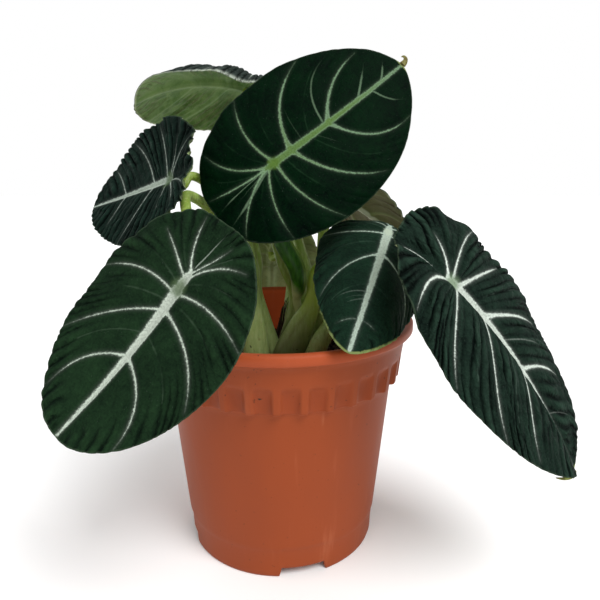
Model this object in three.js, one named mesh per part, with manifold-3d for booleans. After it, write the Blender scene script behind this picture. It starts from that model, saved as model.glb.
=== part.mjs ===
// Potted ninja alocasia: eight leaves on arching stalks and one furled leaf, in soil in a 12 cm nursery pot.
// Millimetres, z up. The origin is the middle of the pot's foot, and the photographed front faces minus y.
import * as THREE from "three";
import { mergeVertices } from "three/addons/utils/BufferGeometryUtils.js";
import Module from "manifold-3d";

const wasm = await Module();
wasm.setup();
const RAD = Math.PI / 180;

// Pot: heights and outer radii.
const POT_HEIGHT = 105.5;
const LIP_RADIUS = 60;
const LIP_HEIGHT = 5;
const BASE_RADIUS = 43.5;
const COLLAR_BOTTOM = 79.3;
const BODY_TOP_RADIUS = 51.1;
const COLLAR_BOTTOM_RADIUS = 54.3;
const COLLAR_TOP_RADIUS = 56.7;
const WALL = 1.4;
const FLUTES = 32;
const FLUTE_HEIGHT = 11.5;
const FLUTE_DEPTH = 1.6;
const FOOT_RECESS = 4.5;
const CENTRE_DISC_RADIUS = 22;
const NOTCH_WIDTH = 20;
const NOTCH_HEIGHT = 4;
const NOTCH_ANGLE = 14;
const POT_SEGMENTS = 64;

// Soil and the holes that the stalks stand in.
const SOIL_LEVEL = 85;
const SOIL_BUMP = 0.9;
const SEAT_GAP = 0.3;
const ROOT_DEPTH = 12;
const SOIL_SEGMENTS = 40;

// Blades: thickness, and the polar angles at which the main veins meet the margin.
const BLADE_THICKNESS = 0.8;
const VEIN_ANGLES = [0, 15, 37, 75, 127, 165, 180];
const ROWS_BETWEEN_VEINS = [3, 3, 4, 4, 4, 2];
const COLUMNS = 6;

// Each leaf: where the stalk meets the blade, how the blade is turned, its size, its bends and its relief.
const LEAVES = {
  top_leaf: {
    at: [-1.5, -22, 172.5], heading: 13, dip: -35, roll: 59,
    front: 72.5, rear: 33, half: 35, egg: 0.1, point: 0.3,
    bend_front: 19, bend_rear: 14, fold_left: -6, fold_right: 1, curl_left: -3, curl_right: 16,
    sweep: 16, twist: 6, bulge: 0.7, pucker: 0.2, wave: 0.5,
  },
  front_left_leaf: {
    at: [-31, -68, 132], heading: 195, dip: 53, roll: -43,
    front: 61.5, rear: 28.5, half: 33, egg: 0.11, point: -0.05,
    bend_front: -18, bend_rear: 8, fold_left: 11, fold_right: 5, curl_left: 28, curl_right: 13,
    sweep: 3, twist: -8, bulge: 1.0, pucker: 0.4, wave: 0.7,
  },
  left_leaf: {
    at: [-43.5, -20, 166], heading: 128, dip: 10, roll: -65,
    front: 62, rear: 25, half: 27, egg: 0.16, point: 0.42,
    bend_front: -17, bend_rear: -10, fold_left: 7, fold_right: 8, curl_left: 13, curl_right: -9,
    sweep: 20, twist: 2, bulge: 1.0, pucker: 0.9, wave: 1.0,
  },
  back_left_leaf: {
    at: [-17, 42, 208], heading: 194, dip: -13, roll: 37,
    front: 58.5, rear: 27, half: 32, egg: 0.14, point: 0.06,
    bend_front: 55, bend_rear: 20, fold_left: -1, fold_right: 10, curl_left: 74, curl_right: 20,
    sweep: -1, twist: 14, bulge: 0.9, pucker: 0.9, wave: 0.8,
  },
  right_leaf: {
    at: [44.5, -24, 146], heading: 250, dip: 30, roll: -23.5,
    front: 58.5, rear: 22, half: 27.5, egg: 0.3, point: 0.2,
    bend_front: 23, bend_rear: 84, fold_left: -15, fold_right: -13, curl_left: 58, curl_right: 31,
    sweep: 2, twist: 20, bulge: 0.8, pucker: 0.4, wave: 0.6,
  },
  far_right_leaf: {
    at: [64, -50, 130], heading: 7.5, dip: 44, roll: 10,
    front: 92, rear: 30, half: 37, egg: 0.06, point: 0.5,
    bend_front: 21, bend_rear: 13, fold_left: 53, fold_right: -8, curl_left: 42, curl_right: 65,
    sweep: -17, twist: -7.5, bulge: 1.1, pucker: 0.9, wave: 1.0,
  },
  back_right_leaf: {
    at: [25, 30, 160], heading: -15, dip: 26, roll: -38,
    front: 50, rear: 24, half: 25, egg: 0.12, point: 0.1,
    bend_front: 20, bend_rear: 15, fold_left: 5, fold_right: 5, curl_left: 15, curl_right: 15,
    sweep: 0, twist: 0, bulge: 0.7, pucker: 0.4, wave: 0.6,
  },
  back_leaf: {
    at: [-6.5, 55, 126], heading: 95, dip: 60, roll: 0,
    front: 52, rear: 24, half: 26, egg: 0.12, point: 0.15,
    bend_front: 12, bend_rear: 10, fold_left: 5, fold_right: 5, curl_left: 14, curl_right: 14,
    sweep: 0, twist: 0, bulge: 0.8, pucker: 0.5, wave: 0.8,
  },
};
const NOTCH = 2;
const VEIN_BOW = 0.13;

// Each stalk: its foot on the soil, the places that it passes, and the half width and half depth of its sheath.
const STALKS = {
  top_leaf: {
    foot: [3, 5], through: [[8.4, 5, 111], [1.6, 5, 129], [-2, 5, 143]],
    sheath: [4.2, 3], sheath_top: 0.75,
  },
  front_left_leaf: {
    foot: [-11, -5],
    through: [[-13.5, -5, 113], [-14, -4, 130], [-26, -6, 150], [-36, -21, 160], [-33, -41, 153], [-30, -57, 138]],
    sheath: [4.8, 3.2], sheath_top: 0.45,
  },
  left_leaf: {
    foot: [-4, 2], through: [[-11.4, 2.5, 114], [-11.5, 5, 131], [-17, 5, 148], [-29, -7, 163], [-36, -13, 167.5]],
    sheath: [3.2, 3], sheath_top: 0.55,
  },
  back_left_leaf: {
    foot: [10, 18], through: [[13, 20, 112], [8, 24, 135], [0, 30, 165], [-13, 36, 190]],
    sheath: [3.4, 3], sheath_top: 0.45,
  },
  back_leaf: {
    foot: [2.5, 12.5], through: [[4, 18, 108], [4, 32, 122], [-2, 45, 125]],
    sheath: [3.2, 3], sheath_top: 0.4,
  },
  right_leaf: {
    foot: [4, -6], through: [[8.9, -6, 100], [13.8, -4.5, 111], [15.5, -4.5, 126], [24, -8, 132], [35, -14, 134]],
    sheath: [6, 3.4], sheath_top: 0.4,
  },
  far_right_leaf: {
    foot: [15, -9],
    through: [[19, -9.5, 97], [30, -2, 110], [44, 3, 121], [60, -8, 124], [67, -25, 122], [63, -41, 122]],
    sheath: [3.6, 2.8], sheath_top: 0.3,
  },
  back_right_leaf: {
    foot: [17, 10], through: [[19, 13, 112], [20, 20, 138]],
    sheath: [3.4, 3], sheath_top: 0.85,
  },
};
const APPROACH = 6;
const ROOT_RADIUS = 2.5;
const STALK_TOP_RADIUS = 1.7;
const STALK_SIDES = 8;
const STALK_RINGS = 13;

// Furled young leaf: a pale sheath below, then the rolled dark blade.
const FURLED_FOOT = [10, 0.5];
const FURLED_THROUGH = [[9.2, 0.2, 103], [7.4, -1.6, 112], [8.2, -5.6, 120], [6.9, -7, 128.5], [1.5, -8, 138.5]];
const FURLED_TIP = [-8, -9, 158];
const FURLED_RADIUS = 3.9;
const FURLED_NECK_RADIUS = 1.9;

const group = new THREE.Group();
group.name = "potted_ninja_alocasia";

// Closed mesh helpers.
function solidOf(points, faces) {
  return new wasm.Manifold(
    new wasm.Mesh({
      numProp: 3,
      vertProperties: Float32Array.from(points.flat()),
      triVerts: Uint32Array.from(faces.flat()),
    }),
  );
}

function solidOfGeometry(source) {
  source.deleteAttribute("normal");
  source.deleteAttribute("uv");
  const merged = mergeVertices(source, 1e-4);
  return new wasm.Manifold(
    new wasm.Mesh({
      numProp: 3,
      vertProperties: new Float32Array(merged.attributes.position.array),
      triVerts: new Uint32Array(merged.index.array),
    }),
  );
}

function geometryOfSolid(solid) {
  const mesh = solid.getMesh();
  const geometry = new THREE.BufferGeometry();
  const flat = new Float32Array(mesh.numVert * 3);
  for (let i = 0; i < mesh.numVert; i++) {
    flat.set(mesh.vertProperties.subarray(i * mesh.numProp, i * mesh.numProp + 3), i * 3);
  }
  geometry.setAttribute("position", new THREE.BufferAttribute(flat, 3));
  geometry.setIndex(new THREE.BufferAttribute(Uint32Array.from(mesh.triVerts), 1));
  return geometry;
}

function addNode(name, geometry, color, roughness, place) {
  geometry.computeVertexNormals();
  const mesh = new THREE.Mesh(geometry, new THREE.MeshStandardMaterial({ color, roughness, metalness: 0 }));
  mesh.name = name;
  if (place) place.decompose(mesh.position, mesh.quaternion, mesh.scale);
  group.add(mesh);
}

// Rings of points joined into one skin. Two rings of like count join by quads, and a ring of half the count by threes.
class Skin {
  constructor() {
    this.points = [];
    this.faces = [];
  }
  ring(count, place) {
    const ids = [];
    for (let i = 0; i < count; i++) {
      ids.push(this.points.length);
      this.points.push(place(i));
    }
    return ids;
  }
  point(p) {
    this.points.push(p);
    return this.points.length - 1;
  }
  join(a, b) {
    const n = Math.min(a.length, b.length);
    for (let i = 0; i < n; i++) {
      const k = (i + 1) % n;
      if (a.length === b.length) {
        this.faces.push([a[i], a[k], b[k]], [a[i], b[k], b[i]]);
      } else if (b.length > a.length) {
        this.faces.push([a[i], b[2 * i + 1], b[2 * i]], [a[i], a[k], b[2 * i + 1]]);
        this.faces.push([a[k], b[(2 * i + 2) % b.length], b[2 * i + 1]]);
      } else {
        this.faces.push([a[2 * i], a[2 * i + 1], b[i]], [a[2 * i + 1], b[k], b[i]]);
        this.faces.push([a[2 * i + 1], a[(2 * i + 2) % a.length], b[k]]);
      }
    }
  }
  capStart(centre, a) {
    for (let i = 0; i < a.length; i++) this.faces.push([centre, a[(i + 1) % a.length], a[i]]);
  }
  capEnd(a, centre) {
    for (let i = 0; i < a.length; i++) this.faces.push([a[i], a[(i + 1) % a.length], centre]);
  }
}

// Pot wall radius inside, at a height.
function innerRadius(z) {
  if (z < COLLAR_BOTTOM) {
    return BASE_RADIUS + ((BODY_TOP_RADIUS - BASE_RADIUS) * z) / COLLAR_BOTTOM - WALL;
  }
  const share = (z - COLLAR_BOTTOM) / (POT_HEIGHT - COLLAR_BOTTOM);
  return BODY_TOP_RADIUS - WALL + (COLLAR_TOP_RADIUS - BODY_TOP_RADIUS) * share;
}

function makePot() {
  const skin = new Skin();
  const round = (count, r, z) => skin.ring(count, (i) => {
    const a = (i / count) * 2 * Math.PI;
    return [r * Math.cos(a), r * Math.sin(a), z];
  });
  const fluted = (r, z, depth) => skin.ring(FLUTES * 4, (i) => {
    const a = (i / (FLUTES * 4)) * 2 * Math.PI;
    const inner = r - depth * [0, 0.8, 1, 0.8][i % 4];
    return [inner * Math.cos(a), inner * Math.sin(a), z];
  });
  const n = POT_SEGMENTS;
  const lipUnder = POT_HEIGHT - LIP_HEIGHT;
  const bottom = skin.point([0, 0, 0]);
  const rings = [
    round(n, CENTRE_DISC_RADIUS, 0),
    round(n, CENTRE_DISC_RADIUS + 2, FOOT_RECESS),
    round(n, BASE_RADIUS - WALL, FOOT_RECESS),
    round(n, BASE_RADIUS - WALL, 0),
    round(n, BASE_RADIUS - 0.4, 0),
    round(n, BASE_RADIUS, 1),
    round(n, BODY_TOP_RADIUS, COLLAR_BOTTOM),
    fluted(COLLAR_BOTTOM_RADIUS, COLLAR_BOTTOM, FLUTE_DEPTH),
    fluted(COLLAR_BOTTOM_RADIUS + 0.8, COLLAR_BOTTOM + FLUTE_HEIGHT * 0.7, FLUTE_DEPTH * 0.75),
    round(FLUTES * 4, COLLAR_BOTTOM_RADIUS + 1.2, COLLAR_BOTTOM + FLUTE_HEIGHT),
    round(n, COLLAR_TOP_RADIUS, lipUnder - 1),
    round(n, COLLAR_TOP_RADIUS + 1.6, lipUnder),
    round(n, LIP_RADIUS, lipUnder + 1.2),
    round(n, LIP_RADIUS, POT_HEIGHT - 1.2),
    round(n, LIP_RADIUS - 1.2, POT_HEIGHT),
    round(n, LIP_RADIUS - 3.6, POT_HEIGHT),
    round(n, innerRadius(POT_HEIGHT - 1.5), POT_HEIGHT - 1.5),
    round(n, innerRadius(COLLAR_BOTTOM), COLLAR_BOTTOM),
    round(n, innerRadius(FOOT_RECESS + WALL), FOOT_RECESS + WALL),
    round(n, CENTRE_DISC_RADIUS + 1, FOOT_RECESS + WALL),
    round(n, CENTRE_DISC_RADIUS - 1, WALL),
  ];
  skin.capStart(bottom, rings[0]);
  for (let i = 0; i + 1 < rings.length; i++) skin.join(rings[i], rings[i + 1]);
  skin.capEnd(rings[rings.length - 1], skin.point([0, 0, WALL]));
  let pot = solidOf(skin.points, skin.faces);
  for (let i = 0; i < 4; i++) {
    const notch = new THREE.BoxGeometry(NOTCH_WIDTH, 12, 2 * NOTCH_HEIGHT);
    notch.translate(0, -BASE_RADIUS, 0).rotateZ((NOTCH_ANGLE + 90 * i) * RAD);
    pot = pot.subtract(solidOfGeometry(notch));
  }
  addNode("pot", geometryOfSolid(pot), 0xa5502e, 0.45);
}

function bump(x, y) {
  return (
    SOIL_BUMP * (0.6 * Math.sin(0.31 * x + 1.3) * Math.cos(0.27 * y - 0.4) + 0.4 * Math.sin(0.83 * x + 0.57 * y))
  );
}

function makeSoil() {
  const skin = new Skin();
  const n = SOIL_SEGMENTS;
  const round = (r, z, bumpy) => skin.ring(n, (i) => {
    const a = (i / n) * 2 * Math.PI;
    const x = r * Math.cos(a);
    const y = r * Math.sin(a);
    return [x, y, bumpy ? z + bump(x, y) : z];
  });
  const low = FOOT_RECESS + WALL + SEAT_GAP;
  const edge = SOIL_LEVEL - 2;
  const rings = [
    round(CENTRE_DISC_RADIUS - 2, WALL + SEAT_GAP),
    round(CENTRE_DISC_RADIUS, low),
    round(innerRadius(low) - SEAT_GAP - 0.2, low),
    round(innerRadius(COLLAR_BOTTOM) - SEAT_GAP - 0.2, COLLAR_BOTTOM),
    round(innerRadius(edge) - SEAT_GAP - 0.2, edge),
    round(45, SOIL_LEVEL - 1, true),
    round(37, SOIL_LEVEL, true),
    round(29, SOIL_LEVEL, true),
    round(21, SOIL_LEVEL + 0.5, true),
    round(12, SOIL_LEVEL + 1, true),
  ];
  skin.capStart(skin.point([0, 0, WALL + SEAT_GAP]), rings[0]);
  for (let i = 0; i + 1 < rings.length; i++) skin.join(rings[i], rings[i + 1]);
  skin.capEnd(rings[rings.length - 1], skin.point([0, 0, SOIL_LEVEL + 1 + bump(0, 0)]));
  let soil = solidOf(skin.points, skin.faces);
  const feet = Object.values(STALKS).map((s) => s.foot);
  feet.push(FURLED_FOOT);
  for (const [x, y] of feet) {
    const depth = ROOT_DEPTH + 10;
    const hole = new THREE.CylinderGeometry(ROOT_RADIUS + SEAT_GAP, ROOT_RADIUS + SEAT_GAP, depth, 12);
    hole.rotateX(90 * RAD).translate(x, y, SOIL_LEVEL - ROOT_DEPTH - SEAT_GAP + depth / 2);
    soil = soil.subtract(solidOfGeometry(hole));
  }
  addNode("soil", geometryOfSolid(soil), 0x2a1c14, 0.95);
}

// Flat outline of a blade: parameter 0 at the tip and pi at the rear notch.
function outline(t, leaf) {
  const middle = (leaf.front - leaf.rear) / 2;
  const reach = (leaf.front + leaf.rear) / 2;
  const x = middle + reach * Math.cos(t) + NOTCH * Math.exp(-(((Math.PI - t) / 0.3) ** 2));
  const power = 1 + leaf.point * Math.max(Math.cos(t), 0) ** 2;
  const y = leaf.half * Math.max(Math.sin(t), 0) ** power * (1 - leaf.egg * Math.cos(t));
  return [x, y];
}

function parameterAt(angle, leaf) {
  if (angle <= 0) return 0;
  if (angle >= 180) return Math.PI;
  let low = 0;
  let high = Math.PI;
  for (let i = 0; i < 50; i++) {
    const middle = (low + high) / 2;
    const [x, y] = outline(middle, leaf);
    if (Math.atan2(y, x) / RAD < angle) low = middle;
    else high = middle;
  }
  return (low + high) / 2;
}

// Where a row of the blade leaves the midrib.
function rowStart(angle, leaf) {
  const ahead = Math.max(0, 1 - angle / 75) ** 4;
  const behind = Math.max(0, (angle - 140) / 40) ** 2;
  const back = leaf.rear - NOTCH;
  return 0.8 * (leaf.front * ahead - back * behind) + 0.2 * (leaf.front - ((leaf.front + back) * angle) / 180);
}

// A point of a row, which bows towards the rear.
function rowPoint(start, end, v) {
  const cx = end[0] - start;
  const cy = end[1];
  const qx = (start + end[0]) / 2 - 2 * VEIN_BOW * cy;
  const qy = cy / 2 + 2 * VEIN_BOW * cx;
  return [
    (1 - v) * (1 - v) * start + 2 * v * (1 - v) * qx + v * v * end[0],
    2 * v * (1 - v) * qy + v * v * end[1],
  ];
}

function arc(curvature, length, angle) {
  const k = Math.abs(curvature) < 1e-6 ? 1e-6 : curvature;
  return [
    (Math.sin(angle) - Math.sin(angle - k * length)) / k,
    (Math.cos(angle - k * length) - Math.cos(angle)) / k,
  ];
}

// Bends the flat blade along its length, across each half, sideways and in a twist.
function bend(fx, fy, height, leaf) {
  const ahead = fx > 0;
  const k = ahead ? (leaf.bend_front * RAD) / leaf.front : (leaf.bend_rear * RAD) / leaf.rear;
  const [along, drop] = arc(k, Math.abs(fx), 0);
  const tilt = ahead ? -k * Math.abs(fx) : k * Math.abs(fx);
  const left = fy > 0;
  const fold = (left ? leaf.fold_left : leaf.fold_right) * RAD;
  const curl = ((left ? leaf.curl_left : leaf.curl_right) * RAD) / leaf.half;
  const [across, rise] = arc(curl, Math.abs(fy), fold);
  const end = fold - curl * Math.abs(fy);
  const y = (left ? across : -across) - (left ? 1 : -1) * Math.sin(end) * height;
  const h = rise + Math.cos(end) * height;
  const turn = (leaf.twist * RAD * fx) / (leaf.front + leaf.rear);
  const yt = y * Math.cos(turn) - h * Math.sin(turn);
  const ht = y * Math.sin(turn) + h * Math.cos(turn);
  const shift = (0.5 * leaf.sweep * RAD * fx * Math.abs(fx)) / (leaf.front + leaf.rear);
  return [(ahead ? along : -along) - ht * Math.sin(tilt), yt + shift, drop + ht * Math.cos(tilt)];
}

function axesOf(leaf) {
  const h = leaf.heading * RAD;
  const d = leaf.dip * RAD;
  const r = leaf.roll * RAD;
  const ex = new THREE.Vector3(Math.cos(h) * Math.cos(d), Math.sin(h) * Math.cos(d), -Math.sin(d));
  const flat = new THREE.Vector3(-Math.sin(h), Math.cos(h), 0);
  const up = new THREE.Vector3().crossVectors(ex, flat);
  const ey = flat.clone().multiplyScalar(Math.cos(r)).addScaledVector(up, Math.sin(r));
  const ez = flat.clone().multiplyScalar(-Math.sin(r)).addScaledVector(up, Math.cos(r));
  return [ex, ey, ez];
}

// Turns and moves a blade to its place.
function placeOf(leaf) {
  return new THREE.Matrix4().makeBasis(...axesOf(leaf)).setPosition(...leaf.at);
}

// Relief of the blade: raised between the main veins, sunk along them, with a waved margin.
function relief(angle, v, side, leaf) {
  let i = 0;
  while (i < VEIN_ANGLES.length - 2 && angle > VEIN_ANGLES[i + 1]) i++;
  const s = (angle - VEIN_ANGLES[i]) / (VEIN_ANGLES[i + 1] - VEIN_ANGLES[i]);
  const rise = Math.sin(Math.PI * Math.min(1, v * 0.9 + 0.1));
  const quilt = leaf.bulge * Math.sin(Math.PI * s) + (leaf.pucker * (1 - Math.cos(4 * Math.PI * s))) / 2;
  const wave = leaf.wave * v ** 3 * Math.sin((angle / 180) * 9 * Math.PI + (side > 0 ? 0 : 1.6));
  const ends = Math.min(1, angle / 15, (180 - angle) / 15);
  const groove = -0.5 * Math.max(0, 1 - v / 0.12);
  return (quilt * (0.35 + 0.65 * rise) * Math.min(1, v / 0.15) + wave) * ends + groove * ends;
}

// The blade's two faces have the same rows, columns and triangles.
function bladeSolid(leaf, above, below) {
  const rows = [];
  VEIN_ANGLES.slice(0, -1).forEach((angle, i) => {
    const step = (VEIN_ANGLES[i + 1] - angle) / ROWS_BETWEEN_VEINS[i];
    for (let k = 0; k < ROWS_BETWEEN_VEINS[i]; k++) if (angle + k * step > 0) rows.push(angle + k * step);
  });
  const spots = [];
  const add = (fx, fy, height) => spots.push([fx, fy, height]) - 1;
  const tip = add(leaf.front, 0, 0);
  const rear = add(-(leaf.rear - NOTCH), 0, 0);
  const middle = rows.map((angle) => add(rowStart(angle, leaf), 0, relief(angle, 0, 1, leaf)));
  const grid = { 1: [], "-1": [] };
  for (const side of [1, -1]) {
    rows.forEach((angle, i) => {
      const end = outline(parameterAt(angle, leaf), leaf);
      const ids = [middle[i]];
      for (let j = 1; j <= COLUMNS; j++) {
        const v = j / COLUMNS;
        const [fx, fy] = rowPoint(rowStart(angle, leaf), end, v);
        ids.push(add(fx, side * fy, relief(angle, v, side, leaf)));
      }
      grid[side].push(ids);
    });
  }
  const faces = [];
  const face = (side, a, b, c) => faces.push(side > 0 ? [a, b, c] : [a, c, b]);
  for (const side of [1, -1]) {
    const g = grid[side];
    const last = g.length - 1;
    for (let j = 0; j < COLUMNS; j++) {
      face(side, tip, g[0][j + 1], g[0][j]);
      face(side, g[last][j], g[last][j + 1], rear);
      for (let i = 0; i < last; i++) {
        face(side, g[i][j], g[i][j + 1], g[i + 1][j]);
        face(side, g[i][j + 1], g[i + 1][j + 1], g[i + 1][j]);
      }
    }
  }
  const mid = spots.map(([fx, fy, height]) => new THREE.Vector3(...bend(fx, fy, height, leaf)));
  const normals = mid.map(() => new THREE.Vector3());
  for (const [a, b, c] of faces) {
    const n = new THREE.Vector3().crossVectors(mid[b].clone().sub(mid[a]), mid[c].clone().sub(mid[a]));
    for (const id of [a, b, c]) normals[id].add(n);
  }
  normals.forEach((n) => n.normalize());
  const points = [];
  mid.forEach((p, i) => points.push(p.clone().addScaledVector(normals[i], above).toArray()));
  mid.forEach((p, i) => points.push(p.clone().addScaledVector(normals[i], -below).toArray()));
  const count = mid.length;
  const all = faces.map((f) => [...f]);
  for (const [a, b, c] of faces) all.push([a + count, c + count, b + count]);
  const rim = [tip, ...grid[1].map((ids) => ids[COLUMNS]), rear, ...grid[-1].map((ids) => ids[COLUMNS]).reverse()];
  for (let i = 0; i < rim.length; i++) {
    const a = rim[i];
    const b = rim[(i + 1) % rim.length];
    all.push([b, a, a + count], [b, a + count, b + count]);
  }
  return solidOf(points, all);
}

// A tube along given places, with a half width and a half depth at each. Its rings don't turn about its length.
function tube(places) {
  const skin = new Skin();
  const rings = [];
  let side = new THREE.Vector3(1, 0, 0);
  places.forEach((place, i) => {
    const before = places[Math.max(0, i - 1)].at;
    const after = places[Math.min(places.length - 1, i + 1)].at;
    const along = after.clone().sub(before).normalize();
    side = side.clone().addScaledVector(along, -side.dot(along)).normalize();
    const front = new THREE.Vector3().crossVectors(along, side);
    rings.push(
      skin.ring(STALK_SIDES, (k) => {
        const a = (k / STALK_SIDES) * 2 * Math.PI;
        return place.at
          .clone()
          .addScaledVector(side, place.width * Math.cos(a))
          .addScaledVector(front, place.depth * Math.sin(a))
          .toArray();
      }),
    );
  });
  skin.capStart(skin.point(places[0].at.toArray()), rings[0]);
  for (let i = 0; i + 1 < rings.length; i++) skin.join(rings[i], rings[i + 1]);
  skin.capEnd(rings[rings.length - 1], skin.point(places[places.length - 1].at.toArray()));
  return solidOf(skin.points, skin.faces);
}

// Half width and half depth of a stalk at a share of its length above the soil.
function stalkSize(share, stalk) {
  const top = stalk.sheath_top;
  const root = ROOT_RADIUS - 0.1;
  if (share < 0.06) {
    const k = share / 0.06;
    return [root + (stalk.sheath[0] - root) * k, root + (stalk.sheath[1] - root) * k];
  }
  if (share < top) {
    const k = ((share - 0.06) / (top - 0.06)) ** 2;
    return [stalk.sheath[0] + (2.3 - stalk.sheath[0]) * k, stalk.sheath[1] + (2.3 - stalk.sheath[1]) * k];
  }
  const k = (share - top) / (1 - top);
  const r = 2.3 + (STALK_TOP_RADIUS - 2.3) * k;
  return [r, r];
}

function makeLeaf(name) {
  const leaf = LEAVES[name];
  const blade = bladeSolid(leaf, BLADE_THICKNESS / 2, BLADE_THICKNESS / 2);
  addNode(name + "_blade", geometryOfSolid(blade), 0x16281c, 0.7, placeOf(leaf));
  const stalk = STALKS[name];
  const [x, y] = stalk.foot;
  const end = new THREE.Vector3(...leaf.at);
  const axes = axesOf(leaf);
  const curve = new THREE.CatmullRomCurve3(
    [
      new THREE.Vector3(x, y, SOIL_LEVEL + 2.2),
      ...stalk.through.map((p) => new THREE.Vector3(...p)),
      end.clone().addScaledVector(axes[2], -APPROACH),
      end.clone().addScaledVector(axes[2], 1),
    ],
    false,
    "catmullrom",
    0.5,
  );
  const root = ROOT_RADIUS - 0.1;
  const places = [{ at: new THREE.Vector3(x, y, SOIL_LEVEL - ROOT_DEPTH), width: root, depth: root }];
  for (let i = 0; i <= STALK_RINGS; i++) {
    const share = i / STALK_RINGS;
    const [width, depth] = stalkSize(share, stalk);
    places.push({ at: curve.getPointAt(share), width, depth });
  }
  const clear = bladeSolid(leaf, 5, BLADE_THICKNESS / 2 + SEAT_GAP).transform(placeOf(leaf).elements);
  const pieces = tube(places).subtract(clear).decompose();
  pieces.sort((a, b) => b.volume() - a.volume());
  addNode(name + "_stalk", geometryOfSolid(pieces[0]), 0x6e7a3e, 0.55);
}

function makeFurledLeaf() {
  const [x, y] = FURLED_FOOT;
  const knots = [[x, y, SOIL_LEVEL + 2.2], ...FURLED_THROUGH, FURLED_TIP];
  const curve = new THREE.CatmullRomCurve3(knots.map((p) => new THREE.Vector3(...p)), false, "catmullrom", 0.5);
  const root = ROOT_RADIUS - 0.1;
  const places = [{ at: new THREE.Vector3(x, y, SOIL_LEVEL - ROOT_DEPTH), width: root, depth: root }];
  for (let i = 0; i <= 16; i++) {
    const t = i / 16;
    const neck = root + (FURLED_NECK_RADIUS - root) * Math.min(1, t / 0.3);
    const blade = Math.sin(Math.PI * Math.min(1, Math.max(0, (t - 0.36) / 0.64) ** 0.8)) ** 0.8;
    const size = t > 0.8 ? Math.max(0.6, FURLED_RADIUS * blade) : neck + (FURLED_RADIUS - neck) * blade;
    places.push({ at: curve.getPointAt(t), width: size, depth: size });
  }
  addNode("furled_leaf", geometryOfSolid(tube(places)), 0x2c4a2a, 0.6);
}

makePot();
makeSoil();
for (const name of Object.keys(LEAVES)) makeLeaf(name);
makeFurledLeaf();

export default group;
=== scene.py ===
"""Potted ninja alocasia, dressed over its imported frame.

A small aroid in a terracotta coloured nursery pot: eight open blades on arching
stalks, one furled young leaf, and potting mix. Sizes of the forms are in millimetres
and turn into metres where a mesh is made. Colours in the tables and materials are
screen values from 0 to 255.
"""
import math
import random

import bpy
import numpy as np
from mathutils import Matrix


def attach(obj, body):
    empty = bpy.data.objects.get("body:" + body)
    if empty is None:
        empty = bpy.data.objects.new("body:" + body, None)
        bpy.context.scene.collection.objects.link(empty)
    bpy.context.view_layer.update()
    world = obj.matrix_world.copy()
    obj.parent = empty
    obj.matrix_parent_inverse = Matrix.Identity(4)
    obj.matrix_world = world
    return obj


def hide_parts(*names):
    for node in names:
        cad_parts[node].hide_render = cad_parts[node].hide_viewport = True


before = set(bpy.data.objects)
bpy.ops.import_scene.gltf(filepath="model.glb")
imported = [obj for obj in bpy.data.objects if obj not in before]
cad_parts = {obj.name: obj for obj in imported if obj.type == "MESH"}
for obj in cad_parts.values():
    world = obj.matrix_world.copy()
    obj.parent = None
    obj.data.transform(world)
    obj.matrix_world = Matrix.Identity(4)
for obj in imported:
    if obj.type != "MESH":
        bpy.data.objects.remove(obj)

bl_info = {
    "name": "Potted ninja alocasia",
    "version": (1, 0, 0),
    "blender": (4, 5, 0),
    "location": "3D View > Sidebar > Alocasia",
    "description": "Makes the pot, soil, stalks and veined blades of a small alocasia",
    "category": "Add Mesh",
}

BODY = "root"
MM = 0.001

# Depth of a blade's rear notch, and of each stalk's hole in the soil
NOTCH = 2.0
SEAT_DEPTH = 12.0

# Pot
POT_HEIGHT = 105.5
LIP_RADIUS = 60.0
LIP_HEIGHT = 5.0
BASE_RADIUS = 43.5
COLLAR_BOTTOM = 79.3
BODY_TOP_RADIUS = 51.1
COLLAR_BOTTOM_RADIUS = 54.3
COLLAR_TOP_RADIUS = 56.7
WALL = 1.4
FLUTES = 32
FLUTE_HEIGHT = 11.5
FLUTE_DEPTH = 2.4
FOOT_RECESS = 4.5
CENTRE_DISC_RADIUS = 22.0
FOOT_NOTCH_WIDTH = 20.0
FOOT_NOTCH_HEIGHT = 4.0
FOOT_NOTCH_ANGLE = 14.0
SOIL_LEVEL = 85.0
SOIL_BUMP = 0.9
SOIL_GAP = 0.5

# Camera of the photograph: place in metres, angle from straight down, and lens and sensor in millimetres
CAMERA_PLACE = (0.0089, -0.2486, 0.1715)
CAMERA_TILT = math.radians(76.5)
CAMERA_LENS = 33.48
CAMERA_SENSOR = 36.0

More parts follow.
